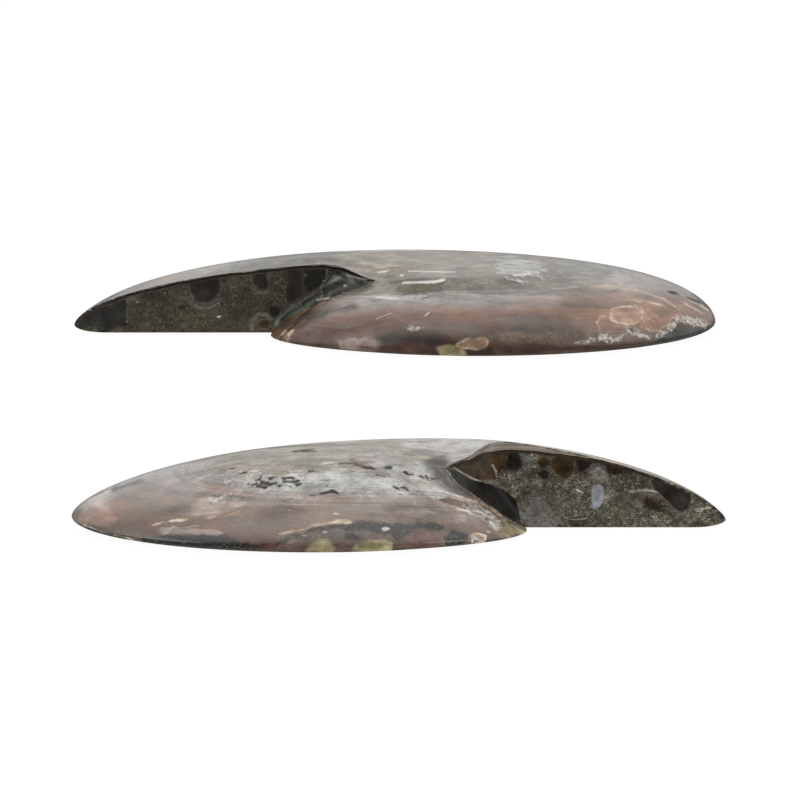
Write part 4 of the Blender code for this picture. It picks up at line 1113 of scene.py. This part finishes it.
FRONT_MOUTH_MARKS = {
    "smooth": [
        [(57.0, 8.9), (58.7, 9.5), (61.8, 8.4), (64.2, 7.1), (64.5, 5.2), (64.0, 3.6), (62.9, 2.8), (61.8, 3.0),
         (60.5, 4.3), (58.7, 6.3), (57.4, 7.3)],
        [(35.7, 10.6), (38.4, 10.7), (38.3, 9.3), (37.5, 8.4), (36.4, 9.3)],
    ],
    "amber": [
        [(19.3, 11.8), (20.4, 13.3), (23.6, 13.7), (25.6, 14.2), (28.3, 14.8), (32.0, 15.3), (33.3, 14.8),
         (33.1, 11.7), (32.4, 10.4), (30.9, 10.4), (29.3, 10.9), (29.1, 8.9), (27.1, 8.8), (25.4, 8.9), (24.1, 9.3),
         (21.9, 10.4)],
        [(38.6, 13.5), (38.8, 10.9), (39.9, 9.5), (41.2, 9.0), (42.3, 9.6), (42.9, 11.5), (42.9, 13.5)],
        ((37.3, 12.2), (1.3, 1.1)),
    ],
    "chamber": [
        [(30.7, 14.4), (32.8, 14.4), (33.5, 13.0), (33.3, 11.5), (32.4, 10.4), (31.1, 10.4), (30.2, 11.5)],
        [(43.0, 13.1), (43.4, 10.7), (44.5, 10.1), (45.8, 11.1), (46.7, 13.0)], ((68.5, 4.0), (0.4, 0.4)),
    ],
    "maroon": [
        ((50.4, 10.9), (3.5, 1.3), -14),
        [(55.7, 6.0), (57.6, 5.4), (59.0, 4.1), (60.1, 2.7), (58.3, 2.5), (56.5, 3.6), (55.0, 4.9)],
    ],
    "ash": [
        [(32.2, 4.9), (34.4, 6.2), (37.0, 5.4), (38.8, 4.1), (40.3, 2.3), (41.0, 0.5), (37.7, 0.1), (34.0, 0.3),
         (32.8, 2.5)],
        [(45.1, 10.4), (46.2, 11.5), (48.0, 11.1), (49.1, 9.6), (47.6, 8.5), (45.8, 8.9)],
        [(32.9, 13.7), (35.5, 13.0), (35.9, 11.1), (33.7, 10.4)],
    ],
    "pale": [
        ([(58.1, 6.5), (59.0, 5.1), (60.3, 3.9), (61.4, 2.7), (61.8, 0.8)], 0.74),
        ([(61.8, 2.7), (63.4, 2.9), (64.2, 3.8)], 0.3), ((33.7, 4.3), (0.9, 1.1)),
        ([(33.5, 13.7), (34.6, 11.8), (34.2, 10.4)], 0.55),
    ],
    "lilac": [
        [(46.2, 7.8), (46.5, 8.2), (47.4, 7.8), (48.2, 6.7), (48.0, 5.2), (47.3, 4.1), (46.5, 3.4), (46.0, 3.4),
         (46.2, 5.1), (46.1, 6.5)],
    ],
    "white": [
        ([(27.8, 11.7), (28.5, 10.4), (28.7, 8.9)], 0.37),
        ([(52.7, 6.9), (53.1, 6.5), (54.6, 6.9), (55.5, 7.0)], 0.37),
        ([(56.1, 6.9), (57.2, 6.9), (58.1, 6.4)], 0.4),
        [(43.0, 7.1), (43.6, 7.3), (44.7, 6.4), (44.1, 6.4), (43.2, 6.7)],
        ([(65.5, 2.5), (66.0, 3.4), (68.0, 3.7)], 0.3), ([(65.6, 5.6), (66.4, 5.6), (67.1, 5.1)], 0.27),
        ([(66.0, 5.1), (66.4, 5.8)], 0.22), ([(40.5, 1.0), (40.8, 0.3)], 0.27),
        ([(40.3, 3.6), (40.6, 1.9), (42.7, 1.4), (45.4, 1.7)], 0.17),
        ([(20.1, 11.8), (21.9, 10.4), (24.3, 9.1), (25.8, 8.5)], 0.17), ((35.5, 11.3), (0.3, 0.3)),
        ((47.3, 10.9), (0.4, 0.2)), ((48.3, 10.1), (0.3, 0.3)),
    ],
}
FRONT_PLAN_MARKS = {
    "rust": [((28, 51), (8, 2.2), -30), ((-14, 52), (6, 2.2), 16), ((-46, 14), (2, 6), 14)],
    "olive": [((6, 57), (6, 1.9), -4), ((-33, 39), (4.5, 2), 42), ((60, 16), (2, 5), 14)],
    "char": [((42, 42), (8, 2.4), -46), ((-4, 54), (5, 2), 4), ((-41, 27), (2.2, 6), 34), ((65, 4), (2, 5), 4)],
    "crumb": [((18, 52), (4, 1.8), -16), ((-24, 46), (4, 1.8), 30), ((52, 32), (2, 4), 40)],
    "grit": [((10, 52), (12, 2), -10), ((-38, 32), (2.4, 9), 42)],
    "cream": [
        ([(30, 42), (18, 47), (6, 49), (-8, 47)], 0.8), ([(48, 28), (55, 17)], 0.7), ((-34, 30), (3, 1.2), 48),
    ],
    "peach": [((36, 36), (6, 3), -44), ((-28, 36), (5, 2.6), 36)],
    "blush": [((30, 32), (20, 8), -36), ((-30, 26), (9, 16), 40)],
    "stone": [((2, 22), (20, 9), 6)],
    "chalk": [((-6, 30), (11, 4), 10), ((28, 20), (8, 4), -20)],
    "crack": [([(-14, 30), (-6, 32), (0, 30)], 0.6), ([(24, 22), (32, 19)], 0.5), ([(8, 34), (14, 32)], 0.4)],
}

# Its shape, in metres, and its lines on the charts, in mm
FRONT_HALF = {
    "node": "ammonite_half_front", "slot": "polished_fossil_front", "side": 1,
    "mouth_radius": 71.5 * MM, "keel_trim": 0.8 * MM, "crown": 14.6 * MM, "mouth_crown": 17.3 * MM,
    "back_crown": 13.5 * MM, "crown_trim": 0.9 * MM, "cap_radius": 53.6 * MM, "fullness": 1.85,
    "mouth_fullness": 2.4, "shoulder": 0.68, "notch": (18.4 * MM, -8.0 * MM), "notch_dip": 0.6 * MM,
    "dip_reach": 2.6 * MM, "edge_bend": 0.5, "chamfer_top": 11.2 * MM, "chamfer_curve": 1.2,
    "mouth_lean": math.radians(32), "hollow_width": 0.060,
    "bare_radius": 26.0, "ledge": (18.0, 4.5),
    "brim_depth": [(18, 0.2), (22, 0.3), (26, 1.1), (28.5, 1.5), (33, 1.2), (37, 0.9), (43, 0.4), (50, 0.1),
                   (71, 0.0)],
    "hollow_line": [(18.4, 11.6), (21.5, 10.6), (23.8, 9.0), (27.5, 8.0), (30.2, 6.8), (32.2, 5.2), (32.9, 2.0),
                    (34.5, -9)],
    "sight_marks": FRONT_SIGHT_MARKS, "mouth_marks": FRONT_MOUTH_MARKS, "plan_marks": FRONT_PLAN_MARKS,
}
FRONT_LOOK = {
    "hue": ("#8f7767", "#9a958f"),
    # The light first stops on the dome's top are grey stone lightened to take in its sheen, partly a painted sheen.
    "ramp": ((0.0, "#b3ada1"), (0.4, "#a8a29a"), (0.52, "#aaa49f"), (0.62, "#a0958e"), (0.74, "#8f7e72"),
             (0.83, "#7d6557"), (0.9, "#5c483d"), (0.95, "#3a322d"), (1.0, "#282420")),
    "skins": ((0.0, "#908a7e"), (0.12, "#5c4a3a"), (0.22, "#b5a78e"), (0.3, "#6a5340"), (0.42, "#8e7a66"),
              (0.5, "#4f3e30"), (0.62, "#a99885"), (0.72, "#75604f"), (0.86, "#978a7c"), (1.0, "#7d6c60")),
    "mud": ("#413e36", "#5d594b"), "curl": "#c2bdab", "curl_share": 0.8, "fleck": "#8f8a76", "fleck_share": 0.5,
    # The hollow's near black is painted shade in the recess at the mouth's foot.
    "ring_share": 1.0, "mouth_gloss": 0.1, "hollow": ("#0c0b09", "#1d1b18"),
    # The brim's light grey first stops are a painted sheen.
    "brim": ((0.0, "#ccc7c2"), (0.12, "#bdb7b1"), (0.22, "#91867c"), (0.28, "#ada499"), (0.36, "#8c7e70"),
             (0.4, "#b0a595"), (0.42, "#2c231c"), (0.46, "#3a3128"), (1.0, "#3d382f")),
}
front_grids = half_points(FRONT_HALF)
fossil_piece("front_half", FRONT_HALF, front_grids, markings(FRONT_HALF, front_grids), (
    shell_material("front_polished_shell", FRONT_LOOK), mouth_material("front_ground_mouth", FRONT_LOOK),
    sawn_material("front_sawn_face", FRONT_LOOK)))


# The stage: a plain pale floor just under the fossils, softboxes overhead and at both sides, and a world that is
# dim low on the camera's side, so that the dark mouths stay dark.
FLOOR_REACH = 30.0
FLOOR_DROP = 0.3 * MM
corners = [(a * FLOOR_REACH, b * FLOOR_REACH, -FLOOR_DROP) for a, b in ((-1, -1), (1, -1), (1, 1), (-1, 1))]
floor_mesh = bpy.data.meshes.new("floor")
floor_mesh.from_pydata(corners, [], [(0, 1, 2, 3)])
floor = bpy.data.objects.new("floor", floor_mesh)
bpy.context.scene.collection.objects.link(floor)
paper = bpy.data.materials.new("white_paper")
paper.use_nodes = True
for key, value in (("Base Color", colour_of("#404040")), ("Roughness", 1.0), ("Specular IOR Level", 0.0),
                   ("Emission Color", colour_of("#ffffff")), ("Emission Strength", 0.97)):
    paper.node_tree.nodes["Principled BSDF"].inputs[key].default_value = value
floor_mesh.materials.append(paper)
floor.visible_glossy = False


def softbox(name, place, aim, size, watts):
    """A rectangle of light of that width and depth, at a place and facing another."""
    light = bpy.data.lights.new(name, "AREA")
    light.shape, light.size, light.size_y, light.energy = "RECTANGLE", size[0], size[1], watts
    holder = bpy.data.objects.new(name, light)
    holder.location = place
    holder.rotation_euler = (Vector(aim) - Vector(place)).to_track_quat("-Z", "Y").to_euler()
    bpy.context.scene.collection.objects.link(holder)


softbox("overhead", (0.0, 0.1, 1.6), (0.0, 0.0, 0.0), (2.4, 1.6), 8.0)
softbox("left_strip", (-1.5, -0.1, 0.7), (0.0, 0.0, 0.0), (1.4, 1.0), 9.0)
softbox("right_strip", (1.5, -0.1, 0.7), (0.0, 0.0, 0.0), (1.4, 1.0), 9.0)

# The world's light depends only on the angle over the object: from the camera's side (0) by the zenith (0.25) and
# the far side (0.5) to the floor (above 0.5).
SKY = ((0.0, "#8e8e8e"), (0.1, "#808080"), (0.135, "#5c5c5c"), (0.175, "#626262"), (0.2, "#a8a8a8"),
       (0.235, "#ececec"), (0.31, "#e8e8e8"), (0.38, "#cccccc"), (0.45, "#c8c8c8"), (0.497, "#c4c4c4"),
       (0.503, "#6a6a6a"), (0.74, "#6a6a6a"), (0.76, "#8e8e8e"))
world = bpy.data.worlds.new("studio")
world.use_nodes = True
bpy.context.scene.world = world
sky = world.node_tree
parts = sky.nodes.new("ShaderNodeSeparateXYZ")
sky.links.new(add(sky, "TexCoord", {}, "Generated"), parts.inputs[0])
ahead = add(sky, "Math", {0: parts.outputs["Y"], 1: -1.0}, operation="MULTIPLY")
angle = add(sky, "Math", {0: parts.outputs["Z"], 1: ahead}, operation="ARCTAN2")
angle = add(sky, "Math", {0: angle, 1: 2 * math.pi}, operation="DIVIDE")
angle = add(sky, "Math", {0: angle, 1: 0.0, 2: 1.0}, operation="WRAP")
glow = add(sky, "ValToRGB", {0: angle}, stops=SKY)
sky.links.new(glow, sky.nodes["Background"].inputs["Color"])
sky.nodes["Background"].inputs["Strength"].default_value = 1.0

# The camera looks along +Y from 7 degrees above the surface, with a long lens, as in the photo. A pixel of the
# photo is so many mm of the object.
CAMERA_LENS = 1600.0
SENSOR_WIDTH = 36.0
PHOTO_WIDTH = 800
PIXEL = 0.1879 * MM
FRAME_WIDTH = PHOTO_WIDTH * PIXEL
CAMERA_AIM = Vector((0.00095, -0.0098, 0.00525))
lens = bpy.data.cameras.new("camera")
lens.lens, lens.sensor_width, lens.clip_end = CAMERA_LENS, SENSOR_WIDTH, 100.0
camera = bpy.data.objects.new("camera", lens)
bpy.context.scene.collection.objects.link(camera)
towards = Vector((0.0, -math.cos(SIGHT), math.sin(SIGHT)))
camera.location = CAMERA_AIM + towards * (FRAME_WIDTH * CAMERA_LENS / SENSOR_WIDTH)
camera.rotation_euler = (-towards).to_track_quat("-Z", "Y").to_euler()
bpy.context.scene.camera = camera
bpy.context.scene.view_settings.view_transform = "Standard"
